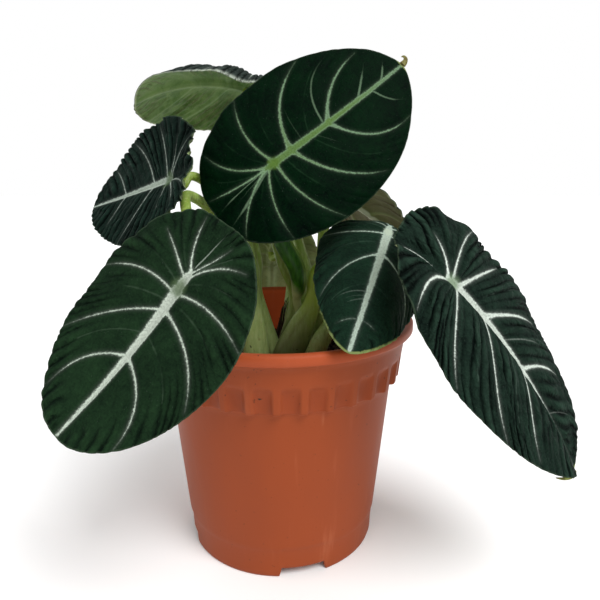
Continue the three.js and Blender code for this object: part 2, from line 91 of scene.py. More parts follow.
# Blades, as in the source: where the stalk meets them, how they are turned, size, bends and relief.
# "ribs" and "cells" are the heights of the fine creases that run beside the side veins.
LEAVES = {
    "top_leaf": dict(
        at=(-1.5, -22, 172.5), heading=13, dip=-35, roll=59,
        front=72.5, rear=33, half=35, egg=0.1, point=0.3,
        bend_front=19, bend_rear=14, fold_left=-6, fold_right=1, curl_left=-3, curl_right=16,
        sweep=16, twist=6, bulge=0.7, wave=0.5, ribs=0.12, cells=0.14, pitch=8.0, midrib=1.95,
    ),
    "front_left_leaf": dict(
        at=(-31, -68, 132), heading=195, dip=53, roll=-43,
        front=61.5, rear=28.5, half=33, egg=0.11, point=-0.05,
        bend_front=-18, bend_rear=8, fold_left=11, fold_right=5, curl_left=28, curl_right=13,
        sweep=3, twist=-8, bulge=1.0, wave=0.7, ribs=0.5, cells=0.35, pitch=5.2, midrib=2.65,
    ),
    "left_leaf": dict(
        at=(-43.5, -20, 166), heading=128, dip=10, roll=-65,
        front=62, rear=25, half=27, egg=0.16, point=0.42,
        bend_front=-17, bend_rear=-10, fold_left=7, fold_right=8, curl_left=13, curl_right=-9,
        sweep=20, twist=2, bulge=1.0, wave=1.0, ribs=0.95, cells=0.4, pitch=3.8, midrib=1.85,
    ),
    "back_left_leaf": dict(
        at=(-17, 42, 208), heading=194, dip=-13, roll=37,
        front=58.5, rear=27, half=32, egg=0.14, point=0.06,
        bend_front=55, bend_rear=20, fold_left=-1, fold_right=10, curl_left=80, curl_right=20,
        sweep=-1, twist=14, bulge=0.9, wave=0.8, ribs=0.9, cells=0.4, pitch=4.0, midrib=1.9,
    ),
    "right_leaf": dict(
        at=(44.5, -24, 146), heading=250, dip=30, roll=-23.5,
        front=58.5, rear=22, half=27.5, egg=0.3, point=0.2,
        bend_front=23, bend_rear=84, fold_left=-15, fold_right=-13, curl_left=58, curl_right=31,
        sweep=2, twist=20, bulge=0.8, wave=0.6, ribs=0.42, cells=0.35, pitch=4.6, midrib=2.1,
    ),
    "far_right_leaf": dict(
        at=(64, -50, 130), heading=7.5, dip=44, roll=10,
        front=92, rear=30, half=37, egg=0.06, point=0.5,
        bend_front=21, bend_rear=13, fold_left=53, fold_right=-8, curl_left=42, curl_right=65,
        sweep=-17, twist=-7.5, bulge=1.1, wave=1.0, ribs=0.85, cells=0.5, pitch=4.6, midrib=2.25,
    ),
    "back_right_leaf": dict(
        at=(25, 30, 160), heading=-15, dip=26, roll=-38,
        front=50, rear=24, half=25, egg=0.12, point=0.1,
        bend_front=20, bend_rear=15, fold_left=5, fold_right=5, curl_left=15, curl_right=15,
        sweep=0, twist=0, bulge=0.7, wave=0.6, ribs=0.7, cells=0.3, pitch=5.0, midrib=1.8,
    ),
    "back_leaf": dict(
        at=(-6.5, 55, 126), heading=95, dip=60, roll=0,
        front=52, rear=24, half=26, egg=0.12, point=0.15,
        bend_front=12, bend_rear=10, fold_left=5, fold_right=5, curl_left=14, curl_right=14,
        sweep=0, twist=0, bulge=0.8, wave=0.8, ribs=0.5, cells=0.3, pitch=4.2, midrib=1.8,
    ),
}

# Blades with lower ribs than this are smooth inside and creased near the margin only.
SMOOTH_RIBS = 0.6

# Main side veins in pairs, tip to rear: where the pair leaves the midrib, and for the left and the right one
# the polar angle at which it aims at the margin, its bow, the share of the way that it reaches, half width.
COMMON_VEINS = (
    (0.45, (17, 0.14, 0.92, 0.7), (17, 0.14, 0.92, 0.7)),
    (0.16, (39, 0.13, 0.95, 0.75), (37, 0.13, 0.95, 0.75)),
    (0.03, (78, 0.11, 0.97, 0.7), (75, 0.11, 0.97, 0.7)),
    (-0.03, (125, 0.10, 0.92, 0.6), (122, 0.10, 0.92, 0.6)),
    (-0.09, (160, 0.02, 0.85, 0.5), (158, 0.02, 0.85, 0.5)),
)
VEINS = {
    "top_leaf": (
        (0.38, (16, 0.14, 0.92, 0.95), (17, 0.19, 0.98, 0.75)),
        (0.12, (41, 0.15, 0.97, 1.0), (39, 0.13, 0.93, 0.85)),
        (0.01, (83, 0.12, 0.99, 0.75), (73, 0.11, 0.97, 0.75)),
        (-0.03, (129, 0.15, 0.93, 0.7), (112, 0.09, 0.97, 0.65)),
        (-0.05, (168, 0.12, 0.93, 0.7), (148, 0.08, 0.96, 0.7)),
    ),
    "front_left_leaf": (
        (0.455, (20, 0.20, 0.98, 0.75), (17, 0.17, 0.96, 0.65)),
        (0.14, (45, 0.15, 0.95, 0.85), (38, 0.07, 0.99, 0.65)),
        (0.04, (83, 0.12, 1.0, 0.75), (72, 0.12, 1.0, 0.7)),
        (-0.05, (127, 0.13, 0.87, 0.7), (122, 0.03, 0.78, 0.7)),
        (-0.10, (158, -0.06, 0.75, 0.55), (162, -0.07, 0.92, 0.65)),
    ),
    "left_leaf": (
        (0.60, (20, 0.06, 0.75, 0.4), (17, 0.06, 0.94, 0.45)),
        (0.21, (38, 0.02, 1.0, 0.5), (34, 0.06, 0.99, 0.5)),
        (0.02, (71, 0.07, 0.51, 0.45), (60, 0.04, 0.96, 0.5)),
        (0.0, (128, 0.10, 0.77, 0.5), (95, 0.10, 0.70, 0.45)),
        (-0.03, (158, 0.10, 0.8, 0.4), (144, -0.16, 0.90, 0.45)),
    ),
    "right_leaf": (
        (0.77, (12, 0.14, 0.5, 0.0), (12, 0.14, 0.7, 0.12)),
        (0.24, (24, 0.23, 0.89, 0.6), (27, 0.15, 0.93, 0.6)),
        (0.035, (64, 0.12, 0.95, 0.55), (85, 0.01, 1.0, 0.6)),
        (-0.03, (118, 0.10, 0.9, 0.5), (130, 0.06, 0.9, 0.5)),
        (-0.08, (156, 0.04, 0.85, 0.5), (162, 0.02, 0.85, 0.5)),
    ),
    "far_right_leaf": (
        (0.485, (18.5, 0.09, 0.74, 0.85), (21.5, 0.18, 0.93, 0.55)),
        (0.195, (33, 0.03, 0.78, 0.95), (35, 0.14, 1.0, 0.55)),
        (0.025, (59, 0.01, 0.74, 0.95), (59, 0.17, 0.97, 0.65)),
        (0.0, (88, 0.10, 1.0, 0.6), (113, 0.20, 0.94, 0.95)),
        (-0.02, (147, -0.09, 0.63, 0.65), (168, 0.13, 0.84, 1.2)),
    ),
}

# Share of those half widths that each blade's veins take.
COMMON_VEIN_WIDTH = 0.85
VEIN_WIDTH = {"front_left_leaf": 0.68, "far_right_leaf": 0.95, "left_leaf": 0.8}

# Forks and short extra veins: side, start, angle, bow, reach and half width.
EXTRA_VEINS = {
    "top_leaf": (
        (-1, -2.5, 162, -0.03, 0.88, 0.6),
        (-1, -9.0, 177, 0.02, 0.86, 0.45),
        (1, 44, 14, 0.0, 0.66, 0.4),
        (1, 58, 8.5, -0.04, 0.69, 0.4),
        (-1, 52, 11, 0.19, 0.77, 0.32),
        (1, 26, 26, 0.22, 0.9, 0.3),
        (1, 15, 50, 0.1, 0.5, 0.06),
        (-1, 20, 28, 0.1, 0.3, 0.06),
    ),
    "front_left_leaf": ((1, -8.5, 172, -0.05, 0.85, 0.35),),
    "right_leaf": ((-1, 33, 19, 0.17, 0.65, 0.12), (-1, 36, 16, 0.1, 0.45, 0.1)),
    "far_right_leaf": ((1, 30, 24, 0.05, 0.6, 0.12), (1, 66, 10, 0.1, 0.75, 0.1)),
}

# Share of its width that the midrib has lost at the tip, and how late it thins.
COMMON_TAPER = (0.72, 1.2)
MIDRIB_TAPER = {
    "top_leaf": (0.6, 1.1), "front_left_leaf": (0.76, 0.8), "left_leaf": (0.7, 1.2),
    "right_leaf": (0.62, 0.9), "far_right_leaf": (0.62, 1.4),
}

# Upper face of each blade: base colour, lighter green for the painted light on the crests and the painted
# sheen in broad patches, side vein and midrib colour, roughness, sheen, shine.
UPPER_LOOKS = {
    "top_leaf": ((0, 7, 4), (4, 33, 12), (98, 122, 96), (80, 108, 48), 0.5, 0.0, 0.02),
    "front_left_leaf": ((10, 24, 14), (32, 56, 33), (168, 180, 166), (172, 180, 168), 0.72, 0.02, 0.03),
    "left_leaf": ((4, 12, 10), (23, 42, 34), (160, 172, 162), (160, 172, 158), 0.7, 0.04, 0.04),
    "back_left_leaf": ((12, 20, 18), (50, 60, 56), (185, 196, 185), (195, 202, 190), 0.75, 0.08, 0.08),
    "right_leaf": ((5, 18, 12), (26, 54, 38), (150, 168, 154), (166, 178, 164), 0.68, 0.03, 0.05),
    "far_right_leaf": ((5, 14, 11), (34, 54, 43), (188, 198, 188), (182, 190, 180), 0.72, 0.03, 0.04),
    "back_right_leaf": ((10, 24, 17), (24, 46, 34), (150, 170, 150), (160, 178, 156), 0.72, 0.06, 0.08),
    "back_leaf": ((10, 24, 17), (26, 50, 36), (155, 172, 155), (165, 180, 160), 0.72, 0.06, 0.08),
}

# Where the stalk meets the blade shows through as a duller spot: its colour and radius.
COMMON_SPOT = ((78, 98, 66), 4.8)
SPOTS = {
    "top_leaf": ((78, 106, 42), 3.4),
    "far_right_leaf": ((112, 134, 104), 4.8),
    "right_leaf": ((176, 190, 170), 2.6),
}

# Lower face: two greens, the brown laid in the creases, which is partly its own brown and partly painted
# shade, midrib colour, how warm it is, and how strongly its veins show.
COMMON_LOWER = ((88, 116, 48), (122, 146, 78), (86, 74, 50), (172, 184, 140), 0.12, 1.0)
LOWER_LOOKS = {
    "back_left_leaf": ((62, 104, 36), (98, 132, 64), (86, 74, 50), (172, 184, 140), 0.12, 0.12),
    "back_right_leaf": ((88, 116, 48), (122, 146, 78), (66, 46, 32), (222, 226, 210), 0.9, 1.7),
    "back_leaf": ((100, 128, 58), (136, 158, 92), (86, 74, 50), (172, 184, 140), 0.3, 0.3),
}

# Stalks: foot on the soil, places passed, half width and half depth of the sheath, where the sheath ends,
# and how much painted shade darkens the sheath low in the clump and how much painted light brightens the stalk
# above it.
STALKS = {
    "top_leaf": dict(
        foot=(3, 5), through=((8.4, 5, 111), (1.6, 5, 129), (-2, 5, 143)),
        sheath=(4.2, 3.0), top=0.75, dull=0.8,
    ),
    "front_left_leaf": dict(
        foot=(-11, -5),
        through=(
            (-13.5, -5, 113), (-14, -4, 130), (-26, -6, 150),
            (-36, -21, 160), (-33, -41, 153), (-30, -57, 138),
        ),
        sheath=(4.8, 3.2), top=0.45,
    ),
    "left_leaf": dict(
        foot=(-4, 2),
        through=((-11.4, 2.5, 114), (-11.5, 5, 131), (-17, 5, 148), (-29, -7, 163), (-36, -13, 167.5)),
        sheath=(3.2, 3.0), top=0.55,
    ),
    "back_left_leaf": dict(
        foot=(10, 18), through=((13, 20, 112), (8, 24, 135), (0, 30, 165), (-13, 36, 190)),
        sheath=(3.4, 3.0), top=0.45,
    ),
    "back_leaf": dict(
        foot=(2.5, 12.5), through=((4, 18, 108), (4, 32, 122), (-2, 45, 125)),
        sheath=(3.2, 3.0), top=0.4, dull=0.5,
    ),
    "right_leaf": dict(
        foot=(4, -6),
        through=((8.9, -6, 100), (13.8, -4.5, 111), (15.5, -4.5, 126), (24, -8, 132), (35, -14, 134)),
        sheath=(6.0, 3.4), top=0.4, dull=0.75, fresh=1.0,
    ),
    "far_right_leaf": dict(
        foot=(15, -9),
        through=((19, -9.5, 97), (30, -2, 110), (44, 3, 121), (60, -8, 124), (67, -25, 122), (63, -41, 122)),
        sheath=(3.6, 2.8), top=0.3,
    ),
    "back_right_leaf": dict(
        foot=(17, 10), through=((19, 13, 112), (20, 20, 138)), sheath=(3.4, 3.0), top=0.85,
    ),
}
STALK_ROOT_RADIUS = 2.4
STALK_MIDDLE_RADIUS = 2.3
STALK_TOP_RADIUS = 1.7
STALK_APPROACH = 6.0

FURLED_FOOT = (10, 0.5)
FURLED_THROUGH = ((9.2, 0.2, 103), (7.4, -1.6, 112), (8.2, -5.6, 120), (6.9, -7, 128.5), (1.5, -8, 138.5))
FURLED_TIP = (-8, -9, 158)
FURLED_NECK_RADIUS = 1.9
FURLED_RADIUS = 3.9
FURLED_NECK_SHARE = 0.36

# Curled dry points of two blades: places along the curl, and its half width at the root.
APEX_CURLS = {
    "top_leaf": (((0.9, 0.3, 1.0), (1.3, 0.6, 2.3), (0.6, 0.9, 3.3), (-0.5, 0.9, 3.2)), 1.3),
    "far_right_leaf": (((0.1, 0.0, -1.1), (-1.2, -0.4, -2.3), (-4.0, -0.8, -2.8), (-7.2, -1.0, -2.3)), 1.0),
}

# Tall dry strands beside the clump: place and height.
TALL_STRANDS = (
    (-2.6, 11.0, 27.0), (-1.8, 11.6, 30.0), (-1.2, 10.6, 26.0), (-3.0, 11.5, 22.0), (-0.6, 11.9, 31.0),
    (-2.2, 12.2, 25.0), (-0.2, 11.2, 28.0),
)
SHORT_STRANDS = 26


# Small number helpers

def smooth(low, high, value):
    t = np.clip((np.asarray(value, float) - low) / (high - low), 0, 1)
    return t * t * (3 - 2 * t)


def bell(value, width):
    """1 at zero, falling away smoothly on both sides."""
    return np.exp(-((value / width) ** 2))


def angles(count):
    """Angles of the points of a ring."""
    return np.arange(count) / count * 2 * np.pi


def letters(name):
    """A number of its own for each name, to vary its creases and laps."""
    return sum(ord(c) for c in name)


def lattice(i, j, seed):
    n = np.sin(i * 127.1 + j * 311.7 + seed * 74.7) * 43758.5453
    return n - np.floor(n)


def value_noise(x, y, seed=0):
    i = np.floor(x)
    j = np.floor(y)
    u = smooth(0, 1, x - i)
    w = smooth(0, 1, y - j)
    low = lattice(i, j, seed) * (1 - u) + lattice(i + 1, j, seed) * u
    high = lattice(i, j + 1, seed) * (1 - u) + lattice(i + 1, j + 1, seed) * u
    return low * (1 - w) + high * w


def cell_gap(x, y, seed=0):
    """How far a place lies from the border of its cell: 0 on the border."""
    i = np.floor(x)
    j = np.floor(y)
    nearest = np.full(x.shape, 9.0)
    second = np.full(x.shape, 9.0)
    for di in (-1, 0, 1):
        for dj in (-1, 0, 1):
            px = i + di + 0.15 + 0.7 * lattice(i + di, j + dj, seed)
            py = j + dj + 0.15 + 0.7 * lattice(i + di, j + dj, seed + 5)
            d = np.hypot(px - x, py - y)
            second = np.minimum(second, np.maximum(nearest, d))
            nearest = np.minimum(nearest, d)
    return second - nearest


# Colours

def srgb(*color):
    """A screen colour as the shader takes it."""
    shares = (c / 255.0 for c in color)
    return (*(s / 12.92 if s <= 0.04045 else ((s + 0.055) / 1.055) ** 2.4 for s in shares), 1.0)


def toned(color, gain):
    """A screen colour made lighter or darker."""
    return tuple(min(255, c * gain) for c in color)


def between(first, second, share):
    """A screen colour between two others."""
    return tuple((1 - share) * a + share * b for a, b in zip(first, second))


def dimmed(tone, gain):
    """A shader colour made a little darker."""
    return (*(c * gain for c in tone[:3]), 1.0)


# Meshes

def add_piece(name, points, faces, materials, slots=None, values=None, flat=None):
    """Makes a smooth shaded piece from points in millimetres."""
    mesh = bpy.data.meshes.new(name)
    mesh.from_pydata((np.asarray(points) * MM).tolist(), [], faces)
    for material in materials:
        mesh.materials.append(material)
    if slots is not None:
        mesh.polygons.foreach_set("material_index", np.asarray(slots, dtype=np.int32))
    mesh.polygons.foreach_set("use_smooth", np.ones(len(mesh.polygons), dtype=bool))
    for key, data in (values or {}).items():
        layer = mesh.attributes.new(key, "FLOAT", "POINT")
        layer.data.foreach_set("value", np.asarray(data, dtype=np.float32))
    if flat is not None:
        layer = mesh.uv_layers.new(name="flat")
        corners = np.empty(len(mesh.loops), dtype=np.int32)
        mesh.loops.foreach_get("vertex_index", corners)
        layer.data.foreach_set("uv", np.asarray(flat, dtype=np.float32)[corners].ravel())
    mesh.update()
    piece = bpy.data.objects.new(name, mesh)
    bpy.context.scene.collection.objects.link(piece)
    return piece


def dress(piece, node=None):
    """Ties a piece to the plant's one body, and puts it in the place of the node that it dresses."""
    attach(piece, BODY)
    if node is not None:
        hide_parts(node)


def grid_faces(rows, columns, first=0):
    """Quads between rings of points that lie one after another."""
    faces = []
    for i in range(rows - 1):
        a = first + i * columns
        b = a + columns
        for j in range(columns):
            k = (j + 1) % columns
            faces.append((a + j, a + k, b + k, b + j))
    return faces


def level_ring(radius, theta, level):
    """A ring of points round the pot's axis, at one level or at a level of its own for each."""
    level = np.broadcast_to(level, theta.shape)
    return np.stack([radius * np.cos(theta), radius * np.sin(theta), level], 1).tolist()


def note(values, count, **ring):
    """Adds the painted values of a ring of points, each one number or one for each point."""
    for key, value in ring.items():
        values.setdefault(key, []).extend(np.broadcast_to(value, count).tolist())


# Materials

class Nodes:
    """A short way to write a node material."""

    def __init__(self, name):
        self.material = bpy.data.materials.new(name)
        self.material.use_nodes = True
        self.tree = self.material.node_tree
        self.tree.nodes.clear()
        self.shader = self.make("BsdfPrincipled", {})
        self.make("OutputMaterial", {"Surface": self.shader.outputs[0]})

    def fill(self, node, inputs):
        """Sets each input to a value, or links it to another node's output."""
        for key, source in inputs.items():
            if isinstance(source, (int, float, tuple)):
                node.inputs[key].default_value = source
            else:
                self.tree.links.new(source, node.inputs[key])

    def make(self, kind, inputs, **settings):
        node = self.tree.nodes.new("ShaderNode" + kind)
        for key, value in settings.items():
            setattr(node, key, value)
        self.fill(node, inputs)
        return node

    def math(self, kind, a, b=0.0, c=0.0):
        return self.make("Math", {0: a, 1: b, 2: c}, operation=kind).outputs[0]

    def plus(self, a, b):
        return self.math("ADD", a, b)

    def minus(self, a, b):
        return self.math("SUBTRACT", a, b)

    def times(self, a, b):
        return self.math("MULTIPLY", a, b)

    def size(self, a):
        return self.math("ABSOLUTE", a)

    def stray(self, value, noise, width):
        """A value that a noise moves up or down by at most half the width."""
        return self.plus(value, self.math("MULTIPLY_ADD", noise, width, -width / 2))

    def ramp(self, value, low, high, start=0.0, end=1.0):
        """Smooth step of a value from start to end between low and high."""
        inputs = {"Value": value, "From Min": low, "From Max": high, "To Min": start, "To Max": end}
        return self.make("MapRange", inputs, interpolation_type="SMOOTHSTEP").outputs[0]

    def mix(self, share, first, second):
        """Blends two colours, each a screen colour, a shader colour or another node's."""
        first, second = (srgb(*c) if isinstance(c, tuple) and len(c) == 3 else c for c in (first, second))
        return self.make("Mix", {0: share, 6: first, 7: second}, data_type="RGBA").outputs[2]

    def tint(self, color, value, low, high, amount, other):
        """Lays an amount of another colour over a colour as a value passes from low to high."""
        return self.mix(self.ramp(value, low, high, 0.0, amount), color, other)

    def value(self, name):
        return self.make("Attribute", {}, attribute_name=name).outputs["Fac"]

    def flat(self):
        return self.make("UVMap", {}, uv_map="flat").outputs[0]

    def place(self, tall=1.0):
        """Place in the plant. Marks are drawn out upwards where tall is under 1."""
        where = self.make("TexCoord", {}).outputs["Object"]
        return self.make("Mapping", {"Vector": where, "Scale": (1.0, 1.0, tall)}).outputs[0]

    def noise(self, where, scale, detail=3.0, rough=0.6, warp=0.0):
        inputs = {"Vector": where, "Scale": scale, "Detail": detail, "Roughness": rough, "Distortion": warp}
        return self.make("TexNoise", inputs).outputs["Fac"]

    def cells(self, where, scale, feature="F1"):
        return self.make("TexVoronoi", {"Vector": where, "Scale": scale}, feature=feature).outputs["Distance"]

    def bump(self, height, distance, strength=1.0, under=None):
        """Relief of a height in metres, on top of another relief if one is given."""
        inputs = {"Strength": strength, "Distance": distance, "Height": height}
        if under is not None:
            inputs["Normal"] = under
        return self.make("Bump", inputs).outputs[0]

    def finish(self, color, roughness, normal=None, **sockets):
        inputs = {"Base Color": color, "Roughness": roughness}
        inputs.update((key.replace("_", " "), value) for key, value in sockets.items())
        if normal is not None:
            inputs["Normal"] = normal
        self.fill(self.shader, inputs)
        return self.material


def creases(n, noise):
    """Count of the pleats beside the side veins, and their height, 0 in a crease."""
    pleat = n.stray(n.value("pleat"), noise, 0.3)
    turn = n.times(pleat, math.pi)
    beside = n.minus(1.0, n.size(n.math("COSINE", turn)))
    split = n.times(n.value("fork"), n.math("POWER", beside, 1.5))
    return pleat, n.times(n.size(n.math("SINE", turn)), n.minus(1.0, split))


def cross_links(n, pleat, spacing=6.5):
    """How far a place lies from the nearest link across the pleats."""
    joined = n.make("CombineXYZ", {0: pleat, 1: n.math("DIVIDE", n.value("out"), spacing)})
    return n.cells(joined.outputs[0], 1.0, "DISTANCE_TO_EDGE")


def upper_material(name, settings):
    """Velvety dark upper face with pale feathered veins."""
    base, lit_green, vein, midrib, roughness, sheen, shine = UPPER_LOOKS[name]
    ribs = LEAVES[name]["ribs"]
    contrast = min(1.0, 1.2 * ribs)
    n = Nodes(name + "_upper_face")
    fine = n.noise(n.flat(), 140.0, 2.0)
    hair = n.noise(n.flat(), 380.0, 2.0, 0.7)
    broad = n.noise(n.flat(), 7.0, 3.0, 0.55, 0.4)
    small = n.noise(n.flat(), 42.0, 3.0, 0.6, 0.6)
    pleat, ridge = creases(n, small)
    net = cross_links(n, pleat)
    strength = n.value("strength")
    reach = n.value("reach")
    # Green ground: painted light on the crests and painted shade in the creases, with broad and small changes
    # that are partly the blade's own mottling and partly painted sheen.
    lift = n.stray(n.stray(n.plus(broad, -0.14), small, 0.7), fine, 0.8)
    lift = n.plus(lift, n.times(strength, n.ramp(ridge, 0.3, 1.0, -0.3 * contrast, 0.4 * contrast)))
    ground = n.mix(lift, base, lit_green)
    # Painted shade: the creases and the cross links between the pleats darkened toward a darker copy of the
    # base.
    crease_shade = n.times(strength, n.ramp(ridge, 0.55, 0.0, 0.0, 0.42 * contrast))
    link = n.times(strength, n.ramp(net, 0.11, 0.0, 0.0, 0.36 * contrast))
    ground = n.mix(n.math("MAXIMUM", crease_shade, link), ground, toned(base, 0.4))
    # Faint laterals between the main veins.
    thin = n.ramp(n.stray(n.value("thin"), small, 0.7), -0.3, 0.2, 0.0, 0.22)
    ground = n.mix(n.times(thin, n.ramp(broad, 0.38, 0.6)), ground, between(lit_green, vein, 0.4))
    # Short extra veins, each drawn by how far a place lies to its left or right.
    spur = n.stray(n.minus(n.value("spur_half"), n.size(n.value("spur"))), fine, 0.5)
    spur = n.times(n.ramp(spur, -0.35, 0.25), n.ramp(n.value("spur_near"), 0.2, 0.45))
    strong = n.ramp(n.value("spur_half"), 0.0, 0.5, 0.15, 0.85)
    ground = n.mix(n.times(spur, strong), ground, vein)
    # Pale veins with feathered, hairy edges: a soft shoulder, then a bright line or a duller broad middle.
    inner = n.value("vein")
    edge = n.stray(n.stray(n.stray(inner, fine, 0.75), hair, 0.7), small, 0.7)
    mask = n.ramp(edge, -0.15, 0.45)
    along = n.mix(n.ramp(reach, 8.0, 34.0), between(midrib, vein, 0.5), vein)
    along = n.mix(n.times(n.value("rear"), 0.7), along, toned(vein, 1.3))
    toward_tip = n.mix(n.ramp(reach, 30.0, 75.0), midrib, vein)
    pale = n.mix(n.ramp(n.value("middle"), -0.5, 0.3), along, toward_tip)
    rim_line = n.times(n.ramp(edge, -0.2, 0.2), n.ramp(edge, 0.9, 0.35))
    pale = n.mix(n.times(rim_line, 0.55), pale, toned(vein, 1.16))
    pale = n.tint(pale, hair, 0.4, 0.65, 0.4, toned(vein, 1.2))
    pale = n.tint(pale, fine, 0.55, 0.35, 0.42, toned(midrib, 0.72))
    ground = n.tint(ground, inner, -1.8, 0.1, 0.2, toned(vein, 0.45))
    ground = n.tint(ground, edge, -0.6, 0.1, 0.42, toned(vein, 0.62))
    color = n.mix(mask, ground, pale)
    spot, radius = SPOTS.get(name, COMMON_SPOT)
    color = n.tint(color, n.stray(reach, small, 3.0), radius, 1.4, 0.8, spot)
    # Margin: a thin dull line, a pale edge seen from below, and the dry edge of the right leaf.
    color = n.tint(color, n.stray(n.value("rim"), small, 1.0), 0.7, 0.1, 0.45, (70, 86, 66))
    color = n.mix(n.times(n.value("edging"), 0.9), color, (190, 200, 186))
    dry = n.stray(n.value("dry"), small, -0.9)
    color = n.tint(color, dry, 0.2, 0.75, 0.95, (120, 134, 80))
    color = n.tint(color, dry, 0.95, 1.5, 0.85, (112, 76, 46))
    # A few pale grains of dust.
    color = n.tint(color, n.cells(n.flat(), 95.0), 0.05, 0.02, 0.45, (176, 188, 178))
    # Relief: pleats and their cross links, then a leathery skin, then velvet.
    fold = n.times(strength, n.plus(n.math("POWER", ridge, 0.7), n.ramp(net, 0.0, 0.22, 0.0, 0.35)))
    pleats = n.bump(fold, 0.0014 * ribs)
    skin = n.bump(n.plus(small, broad), 0.0003 + 0.0016 * ribs, settings.relief, pleats)
    velvet = n.plus(n.plus(n.times(fine, 0.6), n.times(mask, 0.5)), n.times(hair, 0.35))
    return n.finish(
        color, n.math("MULTIPLY_ADD", mask, 0.08, roughness), n.bump(velvet, 0.0003, settings.relief, skin),
        Sheen_Weight=sheen, Sheen_Roughness=0.45, Sheen_Tint=srgb(120, 160, 138), Specular_IOR_Level=shine,
    )


def lower_material(name, settings):
    """Sage underside with paler veins that stand out, and brown creases, partly their own brown and partly
    painted shade.
    """
    low, high, crease, midrib, warm, bright = LOWER_LOOKS.get(name, COMMON_LOWER)
    n = Nodes(name + "_lower_face")
    fine = n.noise(n.flat(), 150.0)
    broad = n.noise(n.flat(), 11.0, 3.0, 0.6, 0.8)
    small = n.noise(n.flat(), 48.0, 3.0, 0.6, 0.5)
    ridge = creases(n, small)[1]
    strength = n.value("strength")
    color = n.mix(n.ramp(broad, 0.32, 0.68), low, high)
    color = n.mix(warm * 0.8, color, (132, 122, 100))
    # Brown in the creases: partly the underside's own brown, partly painted shade in the folds.
    color = n.mix(n.times(strength, n.ramp(ridge, 0.5, 0.05, 0.0, 0.25 + 0.5 * warm)), color, crease)
    color = n.tint(color, small, 0.55, 0.75, 0.3, (78, 96, 48))
    color = n.tint(color, fine, 0.5, 0.8, 0.3, (150, 164, 112))
    color = n.tint(color, n.stray(n.value("vein"), fine, 0.5), -0.5, 0.35, 0.32 * bright, (150, 168, 112))
    color = n.tint(color, n.value("middle"), -0.4, 0.4, min(1.0, 0.5 * bright), midrib)
    color = n.tint(color, n.value("rim"), 1.2, 0.2, 0.6, (176, 186, 146))
    thin = n.ramp(n.value("thin"), -0.4, 0.2, 0.0, 0.3)
    color = n.mix(n.times(thin, min(1.0, bright)), color, (154, 166, 118))
    fold = n.bump(n.times(ridge, strength), 0.0002 + 0.0005 * LEAVES[name]["ribs"])
    normal = n.bump(n.plus(n.times(fine, 0.5), thin), 0.00025, settings.relief, fold)
    return n.finish(color, 0.6, normal, Sheen_Weight=0.05, Sheen_Roughness=0.5, Specular_IOR_Level=0.25)


def stalk_material(settings):
    """Pale papery sheath below, yellow-green stalk above, with brown flecks and edges, painted shade low in
    the clump and painted light on one upper stalk.
    """
    n = Nodes("stalk_skin")
    streak = n.noise(n.place(0.22), 900.0)
    broad = n.noise(n.place(), 95.0)
    fleck = n.noise(n.place(0.6), 620.0, 2.0)
    speck = n.noise(n.place(), 420.0, 2.0, 0.65)
    up = n.value("share")
    height = n.value("height")
    share = n.stray(up, broad, 0.24)
    color = n.mix(n.ramp(share, 0.0, 0.42), (150, 170, 104), (132, 158, 68))
    color = n.tint(color, share, 0.4, 0.95, 1.0, (122, 146, 46))
    color = n.tint(color, streak, 0.45, 0.75, 0.45, (186, 196, 146))
    color = n.tint(color, streak, 0.5, 0.25, 0.35, (104, 112, 62))
    brown = n.times(n.ramp(fleck, 0.63, 0.74, 0.0, 0.42), n.ramp(up, 0.6, 0.2))
    color = n.mix(brown, color, (112, 90, 48))
    color = n.mix(n.times(n.value("edge"), 0.5), color, (96, 92, 44))
    color = n.tint(color, height, 4.0, 0.5, 0.5, (86, 66, 40))
    # Painted light: the upper stalk of the right leaf brightened toward a light yellow-green.
    color = n.mix(n.times(n.value("fresh"), n.ramp(up, 0.16, 0.4, 0.0, 0.8)), color, (158, 184, 62))
    # Painted shade: the sheaths darkened low in the clump, where they shade each other near the soil.
    color = n.mix(n.times(n.value("dull"), n.ramp(height, 24.0, 3.0)), color, (50, 56, 24))
    color = n.mix(n.times(n.ramp(speck, 0.68, 0.73), n.ramp(height, 22.0, 6.0)), color, (30, 20, 13))
    return n.finish(
        color, 0.48, n.bump(n.plus(streak, n.times(fleck, 0.3)), 0.0002, settings.relief),
        Subsurface_Weight=0.08, Subsurface_Scale=0.002, Specular_IOR_Level=0.4,
    )


def furled_material(settings):
    """Pale neck, then the rolled dark green young blade with its lighter lap."""
    n = Nodes("furled_blade_skin")
    streak = n.noise(n.place(0.2), 800.0)
    share = n.stray(n.value("share"), n.noise(n.place(), 120.0, 2.0, 0.5), 0.08)
    dark = n.mix(n.ramp(streak, 0.35, 0.7), (22, 66, 4), (46, 98, 12))
    dark = n.mix(n.times(n.value("edge"), 0.75), dark, (118, 142, 62))
    color = n.mix(n.ramp(share, FURLED_NECK_SHARE, 0.44), (168, 178, 122), dark)
    return n.finish(color, 0.42, n.bump(streak, 0.0002, settings.relief), Specular_IOR_Level=0.25)


def apex_material(name):
    """Dry curled point of a blade."""
    n = Nodes(name + "_dry_point")
    streak = n.noise(n.place(), 700.0)
    light = (134, 146, 70) if name == "far_right_leaf" else (128, 126, 74)
    color = n.mix(n.ramp(streak, 0.35, 0.7), (92, 82, 42), light)
    return n.finish(color, 0.7, n.bump(streak, 0.0002, 0.7), Specular_IOR_Level=0.2)


def strand_material():
    """Dry brown remains of old sheaths."""
    n = Nodes("dry_fibre")
    streak = n.noise(n.place(0.2), 1200.0, 2.0)
    color = n.mix(n.ramp(streak, 0.3, 0.7), (22, 13, 8), (70, 48, 28))
    return n.finish(color, 0.85, n.bump(streak, 0.0002, 0.8))


